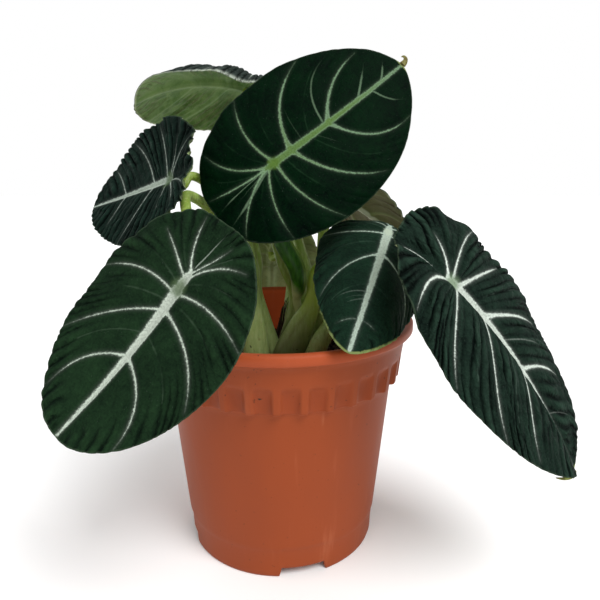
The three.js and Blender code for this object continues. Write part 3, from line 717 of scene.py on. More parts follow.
def soil_material():
    """Dark moist potting mix: peat, bark and a few pale bits."""
    n = Nodes("potting_mix")
    broad = n.noise(n.place(), 140.0, 4.0, 0.65)
    fine = n.noise(n.place(), 900.0, 4.0, 0.7)
    color = n.mix(n.ramp(broad, 0.35, 0.7), (24, 15, 10), (58, 40, 27))
    color = n.tint(color, fine, 0.5, 0.8, 0.6, (92, 68, 46))
    color = n.mix(n.value("bark"), color, (96, 62, 38))
    color = n.mix(n.value("pale"), color, (196, 186, 166))
    return n.finish(color, 0.92, n.bump(n.plus(broad, n.times(fine, 0.7)), 0.0008), Specular_IOR_Level=0.25)


def pot_material(settings):
    """Terracotta coloured moulded plastic with faint flow marks, dust and soil specks."""
    n = Nodes("terracotta_plastic")
    broad = n.noise(n.place(0.5), 22.0, 3.0, 0.6, 0.5)
    flow = n.noise(n.place(0.1), 160.0)
    fine = n.noise(n.place(), 1500.0, 2.0)
    speck = n.noise(n.place(), 520.0, 2.0, 0.65)
    outside = tuple(settings.pot_color)
    color = n.mix(n.ramp(broad, 0.3, 0.7), dimmed(outside, 0.92), outside)
    color = n.tint(color, flow, 0.55, 0.8, 0.16, (180, 94, 58))
    # Painted light: the lip made lighter, where its top catches the light.
    color = n.tint(color, n.value("lip"), 0.2, 1.0, 0.4, (190, 86, 50))
    color = n.tint(color, n.value("inside"), 0.3, 0.9, 0.85, (196, 82, 38))
    # Painted shade in the hollows of the flutes.
    color = n.tint(color, n.value("scoop"), 0.15, 0.9, 0.12, (112, 40, 18))
    color = n.mix(n.times(n.ramp(speck, 0.69, 0.74), n.value("dirt")), color, (46, 30, 20))
    scuff = n.times(n.ramp(flow, 0.6, 0.75), n.ramp(broad, 0.5, 0.7, 0.0, 0.18))
    color = n.mix(scuff, color, (206, 138, 104))
    height = n.plus(n.times(fine, 0.25), n.times(flow, 0.6))
    rough = n.ramp(broad, 0.3, 0.7, 0.46, 0.58)
    return n.finish(color, rough, n.bump(height, 0.00012, 0.6), Specular_IOR_Level=0.18)


def floor_material(settings):
    """Plain floor with the faintest clouds."""
    n = Nodes("pale_floor")
    tone = tuple(settings.floor_color)
    color = n.mix(n.ramp(n.noise(n.place(), 3.0, 2.0, 0.5), 0.3, 0.7), tone, dimmed(tone, 0.985))
    return n.finish(color, 0.8, Specular_IOR_Level=0.2)


# Blade forms

def outline(t, leaf):
    """Flat outline: parameter 0 at the tip and pi at the rear notch."""
    x = (leaf["front"] - leaf["rear"]) / 2 + (leaf["front"] + leaf["rear"]) / 2 * np.cos(t)
    x = x + NOTCH * bell(np.pi - t, 0.3)
    power = 1 + leaf["point"] * np.maximum(np.cos(t), 0) ** 2
    y = leaf["half"] * np.power(np.maximum(np.sin(t), 0), power) * (1 - leaf["egg"] * np.cos(t))
    return x, y


def margin_at(angle, leaf):
    """Place on the outline at a polar angle."""
    t = np.linspace(0, np.pi, 2400)
    x, y = outline(t, leaf)
    polar = np.degrees(np.arctan2(y, x))
    polar[0] = 0
    polar[-1] = 180
    return outline(np.interp(angle, np.maximum.accumulate(polar), t), leaf)


def bowed(start, end_x, end_y, bow, v):
    """A line from the midrib to the margin that bows towards the rear."""
    qx = (start + end_x) / 2 - 2 * bow * end_y
    qy = np.maximum(end_y / 2 + 2 * bow * (end_x - start), 0.12 * end_y)
    x = (1 - v) ** 2 * start + 2 * v * (1 - v) * qx + v * v * end_x
    y = 2 * v * (1 - v) * qy + v * v * end_y
    return x, y


def arc(curvature, length, angle):
    """Run and rise at the end of an arc that leaves at an angle."""
    k = np.where(np.abs(curvature) < 1e-6, 1e-6, curvature)
    end = angle - k * length
    return (np.sin(angle) - np.sin(end)) / k, (np.cos(end) - np.cos(angle)) / k


def bend(fx, fy, height, left, leaf):
    """Bends the flat blade along its length, across each half, sideways and in a twist."""
    rad = math.pi / 180
    length = leaf["front"] + leaf["rear"]
    ahead = fx > 0
    k = np.where(ahead, leaf["bend_front"] * rad / leaf["front"], leaf["bend_rear"] * rad / leaf["rear"])
    along, drop = arc(k, np.abs(fx), 0.0)
    tilt = np.where(ahead, -k, k) * np.abs(fx)
    fold = np.where(left, leaf["fold_left"], leaf["fold_right"]) * rad
    curl = np.where(left, leaf["curl_left"], leaf["curl_right"]) * rad / leaf["half"]
    across, rise = arc(curl, np.abs(fy), fold)
    end = fold - curl * np.abs(fy)
    # On the midrib itself a raised place moves straight up, whichever half it is counted with.
    away = np.minimum(1, np.abs(fy) / 1.5)
    y = np.where(left, 1, -1) * (across - np.sin(end) * height * away)
    h = rise + np.cos(end) * height
    turn = leaf["twist"] * rad * fx / length
    swept = y * np.cos(turn) - h * np.sin(turn) + 0.5 * leaf["sweep"] * rad * fx * np.abs(fx) / length
    h = y * np.sin(turn) + h * np.cos(turn)
    return np.stack([np.where(ahead, along, -along) - h * np.sin(tilt), swept, drop + h * np.cos(tilt)], -1)


def axes_of(leaf):
    """Directions of a blade's length, width and upper side."""
    h, d, r = (math.radians(leaf[k]) for k in ("heading", "dip", "roll"))
    ahead = np.array([math.cos(h) * math.cos(d), math.sin(h) * math.cos(d), -math.sin(d)])
    level = np.array([-math.sin(h), math.cos(h), 0.0])
    up = np.cross(ahead, level)
    return np.stack([ahead, math.cos(r) * level + math.sin(r) * up, -math.sin(r) * level + math.cos(r) * up])


# Rows of a blade run from its midrib to its margin. They lie closer together beside each guide vein.
NEAR_STEPS = (0.0, 0.016, 0.036, 0.06, 0.085, 0.11)
ROW_STEPS = (*NEAR_STEPS, *(0.14 + 0.03 * k for k in range(12)))
COLUMNS = 44


def guide_veins(name, leaf, side):
    """Guides of one half from tip to rear: start on the midrib, end angle, bow, reach and half width."""
    guides = [(leaf["front"], 0, 0.1, 1.0, 0)]
    for share, left, right in VEINS.get(name, COMMON_VEINS):
        guides.append((share * leaf["front"], *(left if side > 0 else right)))
    guides.append((NOTCH - leaf["rear"], 180, 0.0, 1.0, 0))
    return np.array(guides, float)


def lanes_between(guides):
    """Place of each row among the guides, where a whole number is a guide."""
    steps = [*ROW_STEPS, 0.5, *(1 - s for s in reversed(ROW_STEPS) if s > 0)]
    last = len(guides) - 1
    lanes = [i + s for i in range(last) for s in steps]
    return np.array([lane for lane in lanes if 0.03 < lane < last - 0.03])


def steps_along(fx, fy, leaf, vein, count):
    """For each step along a vein: share passed, how far off every place lies, and on which side."""
    start, angle, bow, reach = vein
    end_x, end_y = margin_at(angle, leaf)
    t = np.linspace(0, reach, count)
    x, y = bowed(start, float(end_x), float(end_y), bow, t)
    for k in range(count - 1):
        dx = x[k + 1] - x[k]
        dy = y[k + 1] - y[k]
        px = fx - x[k]
        py = fy - y[k]
        passed = np.clip((px * dx + py * dy) / max(dx * dx + dy * dy, 1e-9), 0, 1)
        yield t[k] / reach, np.hypot(px - passed * dx, py - passed * dy), px * dy - py * dx


def side_veins(name, leaf, guides, fx, fy):
    """How far inside a side vein each place lies, and how far from the middle of one."""
    vein = np.full(fx.shape, -9.0)
    centre = np.full(fx.shape, 9.0)
    for *line, wide in guides[1:-1]:
        wide = wide * VEIN_WIDTH.get(name, COMMON_VEIN_WIDTH)
        for share, gap, _ in steps_along(fx, fy, leaf, line, 34):
            half = wide * (1.05 - 0.6 * share + 0.9 * math.exp(-share / 0.05))
            half = half - 0.42 * smooth(0.68, 1.0, share)
            vein = np.maximum(vein, half - gap)
            centre = np.minimum(centre, gap)
    return vein, centre


def spur_veins(name, leaf, side, fx, fy):
    """Distance to the left or right of the nearest short extra vein, and its half width there."""
    spur = np.full(fx.shape, 9.0)
    spur_half = np.zeros(fx.shape)
    for vein_side, *line, half in EXTRA_VEINS.get(name, ()):
        if vein_side != side:
            continue
        for share, gap, cross in steps_along(fx, fy, leaf, line, 24):
            closer = gap < np.abs(spur)
            spur = np.where(closer, np.where(cross > 0, gap, -gap), spur)
            width = half * (1.1 - 0.6 * share) - 0.3 * smooth(0.6, 1.0, share)
            spur_half = np.where(closer, width, spur_half)
    return spur, spur_half


def inside_midrib(name, leaf, guides, fx, fy):
    """How far inside the midrib each place lies. It narrows to the tip and thins out at the rear."""
    taper, late = MIDRIB_TAPER.get(name, COMMON_TAPER)
    half = leaf["midrib"] * (1 - taper * np.clip(fx / leaf["front"], 0, 1) ** late)
    rear_end = guides[-2, 0]
    behind = smooth(0.6 * rear_end, 1.5 * rear_end - 1.0, fx)
    half = np.where(fx < 0, leaf["midrib"] * 0.8 * (1 - behind) - 1.3 * behind, half)
    return half - np.abs(fy)


def pleat_rows(leaf, lanes, fx, fy, out, centre, seed):
    """Pleats beside the side veins: count, forks, height, how they vary and fade, and room between guides."""
    # There is a whole number of them between each two guides, so that none breaks off.
    sectors = int(lanes[-1]) + 1
    outer = int(COLUMNS * 0.82)
    passed = np.concatenate([[0], np.cumsum(np.hypot(np.diff(fx[:, outer]), np.diff(fy[:, outer])))])
    sector = lanes.astype(int)
    counts = [max(1, round(np.ptp(passed[sector == k]) / leaf["pitch"])) for k in range(sectors)]
    before = np.concatenate([[0], np.cumsum(counts)])[sector][:, None]
    count = np.array(counts)[sector][:, None]
    within = (lanes - sector)[:, None]
    wander = value_noise(lanes[:, None] * 2.1 + seed, out * 2.6, seed) - 0.5
    wander = wander * np.sqrt(np.sin(np.pi * within))
    pleat = before + within * count + 0.6 * wander * np.minimum(1, count / 3)
    width = np.hypot(np.gradient(fx, lanes, axis=0), np.gradient(fy, lanes, axis=0))
    # A wide pleat may split in two on its way to the margin.
    chance = value_noise(np.floor(pleat) * 3.7 + seed, pleat * 0, seed + 4)
    fork = smooth(0.3, 0.6, out) * smooth(0.45, 0.6, chance) * smooth(3.6, 4.8, width / count)
    ridge = np.abs(np.sin(np.pi * pleat)) * (1 - fork * (1 - np.abs(np.cos(np.pi * pleat))) ** 1.5)
    vary = 0.2 + 1.2 * smooth(0.15, 0.85, value_noise(pleat * 0.9 + 7, out * 3.2, seed + 9))
    # The smoother blades are creased near the margin only.
    least, low, high = (0.09, 0.36, 0.88) if leaf["ribs"] < SMOOTH_RIBS else (0.3, 0.06, 0.4)
    fade = least + (1 - least) * smooth(low, high, out)
    fade = fade * smooth(0.7, 2.0, width / count) * (1 - bell(centre, 2.2))
    return pleat, fork, ridge, vary, fade, width


# The half of a blade whose margin is turned up as a smooth pale edge
PALE_MARGIN = ("back_left_leaf", 1)

# The half with a deep lobe beside its rear notch: the lobe's depth, polar angle and half width in degrees
LOBED = ("left_leaf", -1)
LOBE_DEPTH = 2.3
LOBE_ANGLE = 164
LOBE_WIDTH = 7.0


def margin_pull(half, angle, out, depth):
    """How far the creases and the lobe pull the margin in."""
    if half == PALE_MARGIN:
        return 0.0
    pull = depth * out ** 10
    if half == LOBED:
        lobe = LOBE_DEPTH * bell(angle - LOBE_ANGLE, LOBE_WIDTH) * out ** 5
        pull = pull * smooth(150, 120, angle) + lobe
    return pull


def blade_side(name, leaf, side, seed):
    """Flat places, relief and painted values of one half of a blade."""
    guides = guide_veins(name, leaf, side)
    lanes = lanes_between(guides)
    start, angle, bow = (np.interp(lanes, np.arange(len(guides)), guides[:, c])[:, None] for c in range(3))
    lane, out = np.broadcast_arrays(lanes[:, None], np.linspace(0, 1, COLUMNS + 1) ** 1.3)
    fx, fy = bowed(start, *margin_at(angle, leaf), bow, out)
    vein, centre = side_veins(name, leaf, guides, fx, fy)
    spur, spur_half = spur_veins(name, leaf, side, fx, fy)
    middle = inside_midrib(name, leaf, guides, fx, fy)
    centre = np.minimum(centre, np.abs(fy))
    pleat, fork, ridge, vary, fade, width = pleat_rows(leaf, lanes, fx, fy, out, centre, seed)
    reach_out = np.hypot(fx - start, fy)
    span = np.maximum(reach_out[:, -1:], 1.0)
    rim = (1 - out) * span
    # Relief: raised between the veins, creased and netted, waved at the margin, sunk along the veins.
    cells = np.minimum(1, cell_gap(pleat + seed, reach_out / 7.0, seed) * 1.7)
    lift = 1.15 * leaf["ribs"] * (ridge ** 0.7 - 0.6) * vary * fade + leaf["cells"] * (cells - 0.5) * fade
    edging = np.zeros(fx.shape)
    if (name, side) == PALE_MARGIN:
        lift = lift * (1 - out ** 6)
        shown = smooth(26, 40, angle)
        edging = bell(rim, 0.5 + 0.9 * shown) * (0.45 + 0.55 * shown)
    dome = 0.35 + 0.65 * np.sin(np.pi * np.minimum(1, out * 0.9 + 0.1))
    ends = np.minimum(1, np.minimum(angle, 180 - angle) / 15)
    wave = out ** 3 * np.sin(angle / 180 * 9 * np.pi + (0 if side > 0 else 1.6))
    wave = leaf["wave"] * (wave + 0.35 * out ** 4 * (value_noise(lane * 5 + 3, out * 0, seed + 2) - 0.5))
    height = (leaf["bulge"] * (1 - bell(centre, 4.5)) * dome + lift) * np.minimum(1, out / 0.12 + 0.1) + wave
    height = (height - 0.5 * np.maximum(0, 1 - np.abs(fy) / 3.2)) * ends - 0.22 * bell(centre, 0.9)
    # The creases pull the margin in a little where they reach it.
    pull = margin_pull((name, side), angle, out, 0.55 * leaf["ribs"] * (0.4 - ridge) * (vary - 0.3) * ends)
    fx = fx - pull * (fx[:, -1:] - start) / span
    fy = fy - pull * fy[:, -1:] / span
    hidden = (out > 0.72) | (out < 0.04) | (lane > len(guides) - 2) | (lane < 1)
    return {
        "x": fx,
        "y": side * fy,
        "height": height,
        "centre": centre,
        "vein": np.maximum(vein, middle),
        "middle": middle,
        "pleat": pleat,
        "fork": fork,
        "strength": vary * fade,
        "out": reach_out,
        "rear": smooth(len(guides) - 3.5, len(guides) - 2.2, lane),
        "thin": np.where(hidden, -3.0, 0.2 - np.abs(lane % 1.0 - 0.5) * width),
        "rim": rim,
        "reach": np.hypot(fx, fy),
        "spur": spur,
        "spur_half": spur_half,
        "spur_near": np.exp(-np.abs(spur) / 2.2),
        "edging": edging,
    }


# Painted values at the tip and at the rear notch, where they aren't 0.
END_VALUES = {
    "vein": (0.1, -2.0), "middle": (0.1, -2.0), "thin": (-3.0, -3.0), "centre": (0.0, 3.0), "spur": (9.0, 9.0),
}


def join_halves(name, leaf):
    """Values of a whole blade: the tip, the rear notch, the left half with the midrib, then the right half."""
    left, right = (blade_side(name, leaf, side, letters(name) % 37) for side in (1, -1))
    left["height"][:, 0] = 0.5 * (left["height"][:, 0] + right["height"][:, 0])
    ends = {**END_VALUES, "x": (leaf["front"], NOTCH - leaf["rear"]), "reach": (leaf["front"], leaf["rear"])}
    blade = {}
    for key in left:
        parts = [ends.get(key, (0.0, 0.0)), left[key].T.ravel(), right[key][:, 1:].T.ravel()]
        blade[key] = np.concatenate(parts)
    return blade, left["x"].shape


def blade_faces(rows, wide):
    """Faces of both halves, and the places round the margin."""
    left = 2 + np.arange(wide * rows).reshape(wide, rows)
    right = np.concatenate([left[:1], left[1:] + rows * (wide - 1)])
    faces = []
    for grid, turned in ((left.tolist(), False), (right.tolist(), True)):
        for near, far in zip(grid, grid[1:]):
            strip = [(0, far[0], near[0]), (near[-1], far[-1], 1), *zip(near, far, far[1:], near[1:])]
            faces += [face[::-1] if turned else face for face in strip]
    return faces, [0, *left[-1].tolist(), 1, *right[-1][::-1].tolist()]


def point_normals(points, faces):
    """Mean direction of the faces round each point."""
    normals = np.zeros_like(points)
    for size in (3, 4):
        chosen = np.array([face for face in faces if len(face) == size])
        corners = points[chosen] - points[chosen[:, :1]]
        normal = sum(np.cross(corners[:, c], corners[:, c + 1]) for c in range(1, size - 1))
        for c in range(size):
            np.add.at(normals, chosen[:, c], normal)
    return normals / np.maximum(np.linalg.norm(normals, axis=1, keepdims=True), 1e-9)


def dry_share(name, leaf, blade):
    """How dry each place of a blade is: yellowed up to 1, and brown above."""
    toward_tip = blade["x"] / leaf["front"]
    if name == "right_leaf":
        return smooth(0.5, 0.97, toward_tip) * (1.15 - blade["rim"] / 1.1)
    if name in APEX_CURLS:
        return 1.4 * smooth(0.978, 1.0, toward_tip)
    return (0.35 if name == "back_left_leaf" else 0.0) * (1 - blade["rim"] / 1.2)


# Values that shape a blade and aren't painted on it
UNPAINTED = ("x", "y", "height", "centre")

# Middle surface and directions of each blade that has been made, for the stalk that meets it
SHEETS = {}


def blade_shell(name, leaf, settings):
    """Both faces of a blade, closed round the margin, with its painted values."""
    blade, (rows, wide) = join_halves(name, leaf)
    faces, margin = blade_faces(rows, wide)
    count = len(blade["x"])
    middle = bend(blade["x"], blade["y"], blade["height"], np.arange(count) < 2 + rows * wide, leaf)
    normals = point_normals(middle, faces)
    half = 0.5 * settings.thickness / MM * (0.5 + 0.5 * smooth(0.0, 2.2, blade["rim"]))
    # The midrib and the side veins stand out below.
    ridge = 0.9 * bell(np.minimum(0, blade["middle"]), 1.1) * smooth(-1.6, 0.4, blade["middle"])
    ridge = (ridge + 0.45 * bell(blade["centre"], 0.8)) * (0.25 if name == "back_left_leaf" else 1.0)
    under = half + ridge * np.minimum(1, blade["rim"] / 3)
    axes = axes_of(leaf)
    at = np.array(leaf["at"])
    SHEETS[name] = (middle @ axes + at, normals @ axes)
    points = np.concatenate([middle + normals * half[:, None], middle - normals * under[:, None]]) @ axes + at
    slots = [0] * len(faces) + [1] * len(faces) + [0] * len(margin)
    faces += [tuple(i + count for i in reversed(face)) for face in faces]
    faces += [(b, a, a + count, b + count) for a, b in zip(margin, margin[1:] + margin[:1])]
    blade["dry"] = np.clip(dry_share(name, leaf, blade), -1, 2)
    flat = np.stack([blade["x"], blade["y"]], 1) / 100.0
    values = {key: np.tile(data, 2) for key, data in blade.items() if key not in UNPAINTED}
    return points, faces, slots, values, np.tile(flat, (2, 1))


def add_curl(name, points, faces, slots, values, flat):
    """Draws the blade's point out into a small dry curl that grows from its tip."""
    places, half = APEX_CURLS[name]
    tip = points[0]
    route = smooth_route([tip, *(tip + np.array(place) for place in places)], 22)
    around = 10
    theta = angles(around)
    rings = []
    for i, (place, side, front) in enumerate(zip(route, *frames_along(route))):
        left = 1 - i / (len(route) - 1)
        rings.append(place + loop(theta, side, front, half * left ** 0.8 + 0.18, 0.45 * half * left + 0.15))
    first = len(points)
    points = np.concatenate([points, *rings, route[-1:], route[:1]])
    end = len(points) - 2
    new = grid_faces(len(route), around, first)
    for j in range(around):
        k = (j + 1) % around
        new += [(end - around + j, end - around + k, end), (first + k, first + j, end + 1)]
    added = len(points) - first
    fills = {"dry": 1.0, "rim": 3.0, "reach": 60.0, "spur": 9.0, "vein": -2.0, "middle": -2.0}
    values = {key: np.concatenate([data, np.full(added, fills.get(key, 0.0))]) for key, data in values.items()}
    flat = np.concatenate([flat, flat[:1] + (points[first:] - tip)[:, :2] / 100.0])
    return points, faces + new, slots + [2] * len(new), values, flat


def make_blade(name, settings):
    form = blade_shell(name, LEAVES[name], settings)
    materials = [upper_material(name, settings), lower_material(name, settings)]
    if name in APEX_CURLS:
        form = add_curl(name, *form)
        materials.append(apex_material(name))
    points, faces, slots, values, flat = form
    piece = add_piece(name + "_dressed_blade", points, faces, materials, slots, values, flat)
    dress(piece, name + "_blade")


# Stalk forms

def smooth_route(knots, count):
    """The source's curve through its places, cut into equal lengths."""
    p = np.array(knots, float)
    p = np.concatenate([[2 * p[0] - p[1]], p, [2 * p[-1] - p[-2]]])
    fine = []
    for i in range(1, len(p) - 2):
        t = np.linspace(0, 1, 60, endpoint=False)[:, None]
        m0 = 0.5 * (p[i + 1] - p[i - 1])
        m1 = 0.5 * (p[i + 2] - p[i])
        c2 = -3 * p[i] + 3 * p[i + 1] - 2 * m0 - m1
        c3 = 2 * p[i] - 2 * p[i + 1] + m0 + m1
        fine.append(p[i] + m0 * t + c2 * t ** 2 + c3 * t ** 3)
    fine = np.concatenate(fine + [p[-2][None]])
    length = np.concatenate([[0], np.cumsum(np.linalg.norm(np.diff(fine, axis=0), axis=1))])
    at = np.linspace(0, length[-1], count)
    return np.stack([np.interp(at, length, fine[:, c]) for c in range(3)], 1)


def rooted_route(foot, knots, count):
    """Route from the bottom of a stalk's hole in the soil up through its knots."""
    root = [(*foot, SOIL_LEVEL - SEAT_DEPTH), (*foot, SOIL_LEVEL - 2.0)]
    return np.concatenate([root, smooth_route([(*foot, SOIL_LEVEL + 2.2), *knots], count)])


def frames_along(route):
    """Side and front directions along a route, which don't turn about it."""
    side = np.array([1.0, 0, 0])
    sides = []
    fronts = []
    for i in range(len(route)):
        along = route[min(i + 1, len(route) - 1)] - route[max(i - 1, 0)]
        along = along / np.linalg.norm(along)
        side = side - along * side.dot(along)
        side = side / np.linalg.norm(side)
        sides.append(side)
        fronts.append(np.cross(along, side))
    return sides, fronts


def loop(theta, side, front, wide, deep):
    """Oval ring about the origin. Width and depth are one number each, or one for each point."""
    return side * (np.cos(theta) * wide)[:, None] + front * (np.sin(theta) * deep)[:, None]


def lap_step(theta, lap, fall):
    """Angle from the edge of a wrapped sheet, and the height of the step behind that edge."""
    turn = (theta - lap + math.pi) % (2 * math.pi) - math.pi
    return turn, np.where(turn > 0, np.exp(-turn / fall), 0.0)


def stalk_half(share, sheath, top):
    """Half width of a stalk: widest in the sheath, then an even taper."""
    if share < top:
        return sheath + (STALK_MIDDLE_RADIUS - sheath) * (share / top) ** 2
    return STALK_MIDDLE_RADIUS + (STALK_TOP_RADIUS - STALK_MIDDLE_RADIUS) * (share - top) / (1 - top)


def press_under(name, points):
    """Moves the places of a stalk that would come through its blade to just under it."""
    sheet, normals = SHEETS[name]
    depth = 0.55
    beside_limit = 1.6
    near_limit = 24
    flat = points.reshape(-1, 3)
    near = np.flatnonzero(np.linalg.norm(flat - np.array(LEAVES[name]["at"]), axis=1) < near_limit)
    for i in near:
        away = flat[i] - sheet
        k = int((away ** 2).sum(axis=1).argmin())
        height = float(away[k].dot(normals[k]))
        beside = np.linalg.norm(away[k] - height * normals[k])
        if height > -depth and beside < beside_limit:
            flat[i] -= normals[k] * (height + depth)
    return flat.reshape(points.shape)


def tube_piece(name, rings, material, values):
    """Joins rings of points, from the foot up, into one closed skin."""
    count, around = rings.shape[:2]
    points = rings.reshape(-1, 3).tolist()
    faces = grid_faces(count, around)
    for ring, low in ((0, True), (count - 1, False)):
        centre = len(points)
        points.append(rings[ring].mean(axis=0).tolist())
        for data in values.values():
            data.append(data[ring * around])
        for j in range(around):
            a = ring * around + j
            b = ring * around + (j + 1) % around
            faces.append((centre, b, a) if low else (a, b, centre))
    return add_piece(name, points, faces, [material], values=values)


def make_stalk(name, material):
    stalk = STALKS[name]
    top = stalk["top"]
    up = axes_of(LEAVES[name])[2]
    end = np.array(LEAVES[name]["at"], float)
    route = rooted_route(stalk["foot"], [*stalk["through"], end - STALK_APPROACH * up, end - 0.3 * up], 90)
    around = 28
    theta = angles(around)
    seed = letters(name) % 29
    rings = []
    values = {}
    for i, (place, side, front) in enumerate(zip(route, *frames_along(route))):
        share = max(0.0, (i - 2) / (len(route) - 3))
        swell = 1 + 0.32 * bell(share, 0.5 * top)
        wide, deep = (stalk_half(share, half * swell, top) for half in stalk["sheath"])
        # The sheath is a wrapped sheet: its lap runs up the front, and it thins out at its top.
        sheathed = 1 - smooth(top * 0.86, top, share)
        if i < 1:
            wide = deep = STALK_ROOT_RADIUS
            sheathed = 0.0
        turn, step = lap_step(theta, 1.15 * math.pi + 0.9 * share / top + 0.35 * seed, 1.1)
        rough = 0.035 * np.sin(5 * theta + seed) * value_noise(theta * 2, theta * 0 + share * 9, seed)
        size = 1 + sheathed * (0.11 * step - 0.05 + rough)
        size = size * (1 + 0.35 * smooth(0.965, 1.0, share)) * (1 + 0.02 * math.sin(share * 31 + seed))
        rings.append(place + loop(theta, side, front, wide * size, deep * size))
        note(
            values, around, share=share, edge=bell(turn, 0.16) * sheathed, height=place[2] - SOIL_LEVEL,
            dull=stalk.get("dull", 0.0), fresh=stalk.get("fresh", 0.0),
        )
    rings = press_under(name, np.array(rings))
    piece = tube_piece(name + "_dressed_stalk", rings, material, values)
    dress(piece, name + "_stalk")


def make_furled_leaf(settings):
    route = rooted_route(FURLED_FOOT, [*FURLED_THROUGH, FURLED_TIP], 80)
    around = 32
    theta = angles(around)
    rings = []
    values = {}
    for i, (place, side, front) in enumerate(zip(route, *frames_along(route))):
        share = max(0.0, (i - 2) / (len(route) - 3))
        above = min(1.0, max(0.0, (share - FURLED_NECK_SHARE) / (1 - FURLED_NECK_SHARE)))
        neck = STALK_ROOT_RADIUS + (FURLED_NECK_RADIUS - STALK_ROOT_RADIUS) * min(1, share / 0.3)
        swell = math.sin(math.pi * above ** 0.8) ** 0.8
        radius = max(0.5, FURLED_RADIUS * swell) if share > 0.8 else neck + (FURLED_RADIUS - neck) * swell
        rolled = smooth(FURLED_NECK_SHARE, 0.5, share)
        turn, step = lap_step(theta, 4.6 + 2.4 * share, 1.3)
        radius = radius * (1 + rolled * (0.16 * step - 0.07))
        rings.append(place + loop(theta, side, front, radius, radius))
        tilted = 0.05 * loop(theta, side, front, 1.0, 1.0)[:, 0] - 0.02
        note(values, around, share=share + tilted, edge=bell(turn, 0.2) * rolled)
    piece = tube_piece("rolled_young_leaf", np.array(rings), furled_material(settings), values)
    dress(piece, "furled_leaf")


# Pot and soil forms

def outer_radius(z):
    """Outside of the plain wall below the collar."""
    return BASE_RADIUS + (BODY_TOP_RADIUS - BASE_RADIUS) * z / COLLAR_BOTTOM


def inner_radius(z):
    if z < COLLAR_BOTTOM:
        return outer_radius(z) - WALL
    share = (z - COLLAR_BOTTOM) / (POT_HEIGHT - COLLAR_BOTTOM)
    return BODY_TOP_RADIUS - WALL + (COLLAR_TOP_RADIUS - BODY_TOP_RADIUS) * share


def pot_profile():
    """Height, radius, share of flute and share of inside, from the middle of the foot out, up and back in."""
    disc = CENTRE_DISC_RADIUS
    bore = BASE_RADIUS - WALL
    low = POT_HEIGHT - LIP_HEIGHT
    flute_top = COLLAR_BOTTOM + FLUTE_HEIGHT
    flute_radius = COLLAR_BOTTOM_RADIUS + 1.2
    floor = FOOT_RECESS + WALL
    foot = [(0, 0.01), (0, disc), (FOOT_RECESS - 0.6, disc + 1.7), (FOOT_RECESS, disc + 2.6)]
    foot += [(FOOT_RECESS, bore - 0.8), (FOOT_RECESS - 0.8, bore), (0.25, bore), (0, bore + 0.3)]
    foot += [(0, BASE_RADIUS - 0.55), (0.3, BASE_RADIUS - 0.15)]
    wall = []
    for z in (1.2, 3, 6, 9, 12, 13.2, 14.2, 16, 20, 30, 40, 50, 60, 70, 76):
        waist = 0.0 if z > 14 else 0.35 * smooth(14.2, 12.5, z) * smooth(1.0, 6.0, z)
        wall.append((z, outer_radius(z) - waist))
    wall += [(COLLAR_BOTTOM - 0.8, BODY_TOP_RADIUS - 0.05), (COLLAR_BOTTOM - 0.1, BODY_TOP_RADIUS + 0.6)]
    flutes = [(COLLAR_BOTTOM, COLLAR_BOTTOM_RADIUS - 0.7, 0.75, 0)]
    for share in np.arange(13) / 12:
        z = COLLAR_BOTTOM + 0.5 + (FLUTE_HEIGHT - 0.5) * share
        flutes.append((z, COLLAR_BOTTOM_RADIUS + 1.2 * share, math.sqrt(max(0.0, 1 - share ** 2.2)), 0))
    collar = []
    for share in (0.2, 0.4, 0.6, 0.8):
        z = flute_top + (low - 1.4 - flute_top) * share
        collar.append((z, flute_radius + (COLLAR_TOP_RADIUS - flute_radius) * share))
    collar += [(low - 0.9, COLLAR_TOP_RADIUS + 0.3), (low - 0.2, COLLAR_TOP_RADIUS + 1.3)]
    collar += [(low + 0.4, LIP_RADIUS - 0.5), (low + 1.1, LIP_RADIUS), (POT_HEIGHT - 1.4, LIP_RADIUS)]
    for below, inward in ((0.5, 0.4), (0.05, 1.2), (0, 2.4)):
        collar.append((POT_HEIGHT - below, LIP_RADIUS - inward))
    turned = [(POT_HEIGHT - 0.2, LIP_RADIUS - 3.6, 0, 0.2)]
    turned += [(POT_HEIGHT - 1.5, inner_radius(POT_HEIGHT - 1.5), 0, 0.8)]
    inside = [(z, inner_radius(z)) for z in (102, 99, 96, 93, 90, 87, 84, COLLAR_BOTTOM, 60, 30, floor + 1)]
    inside += [(floor, inner_radius(floor) - 1), (floor, disc + 1), (WALL, disc - 1), (WALL, 0.01)]
    outside = [(z, r, 0, 0) for z, r in foot + wall] + flutes + [(z, r, 0, 0) for z, r in collar]
    return outside + turned + [(z, r, 0, 1) for z, r in inside]


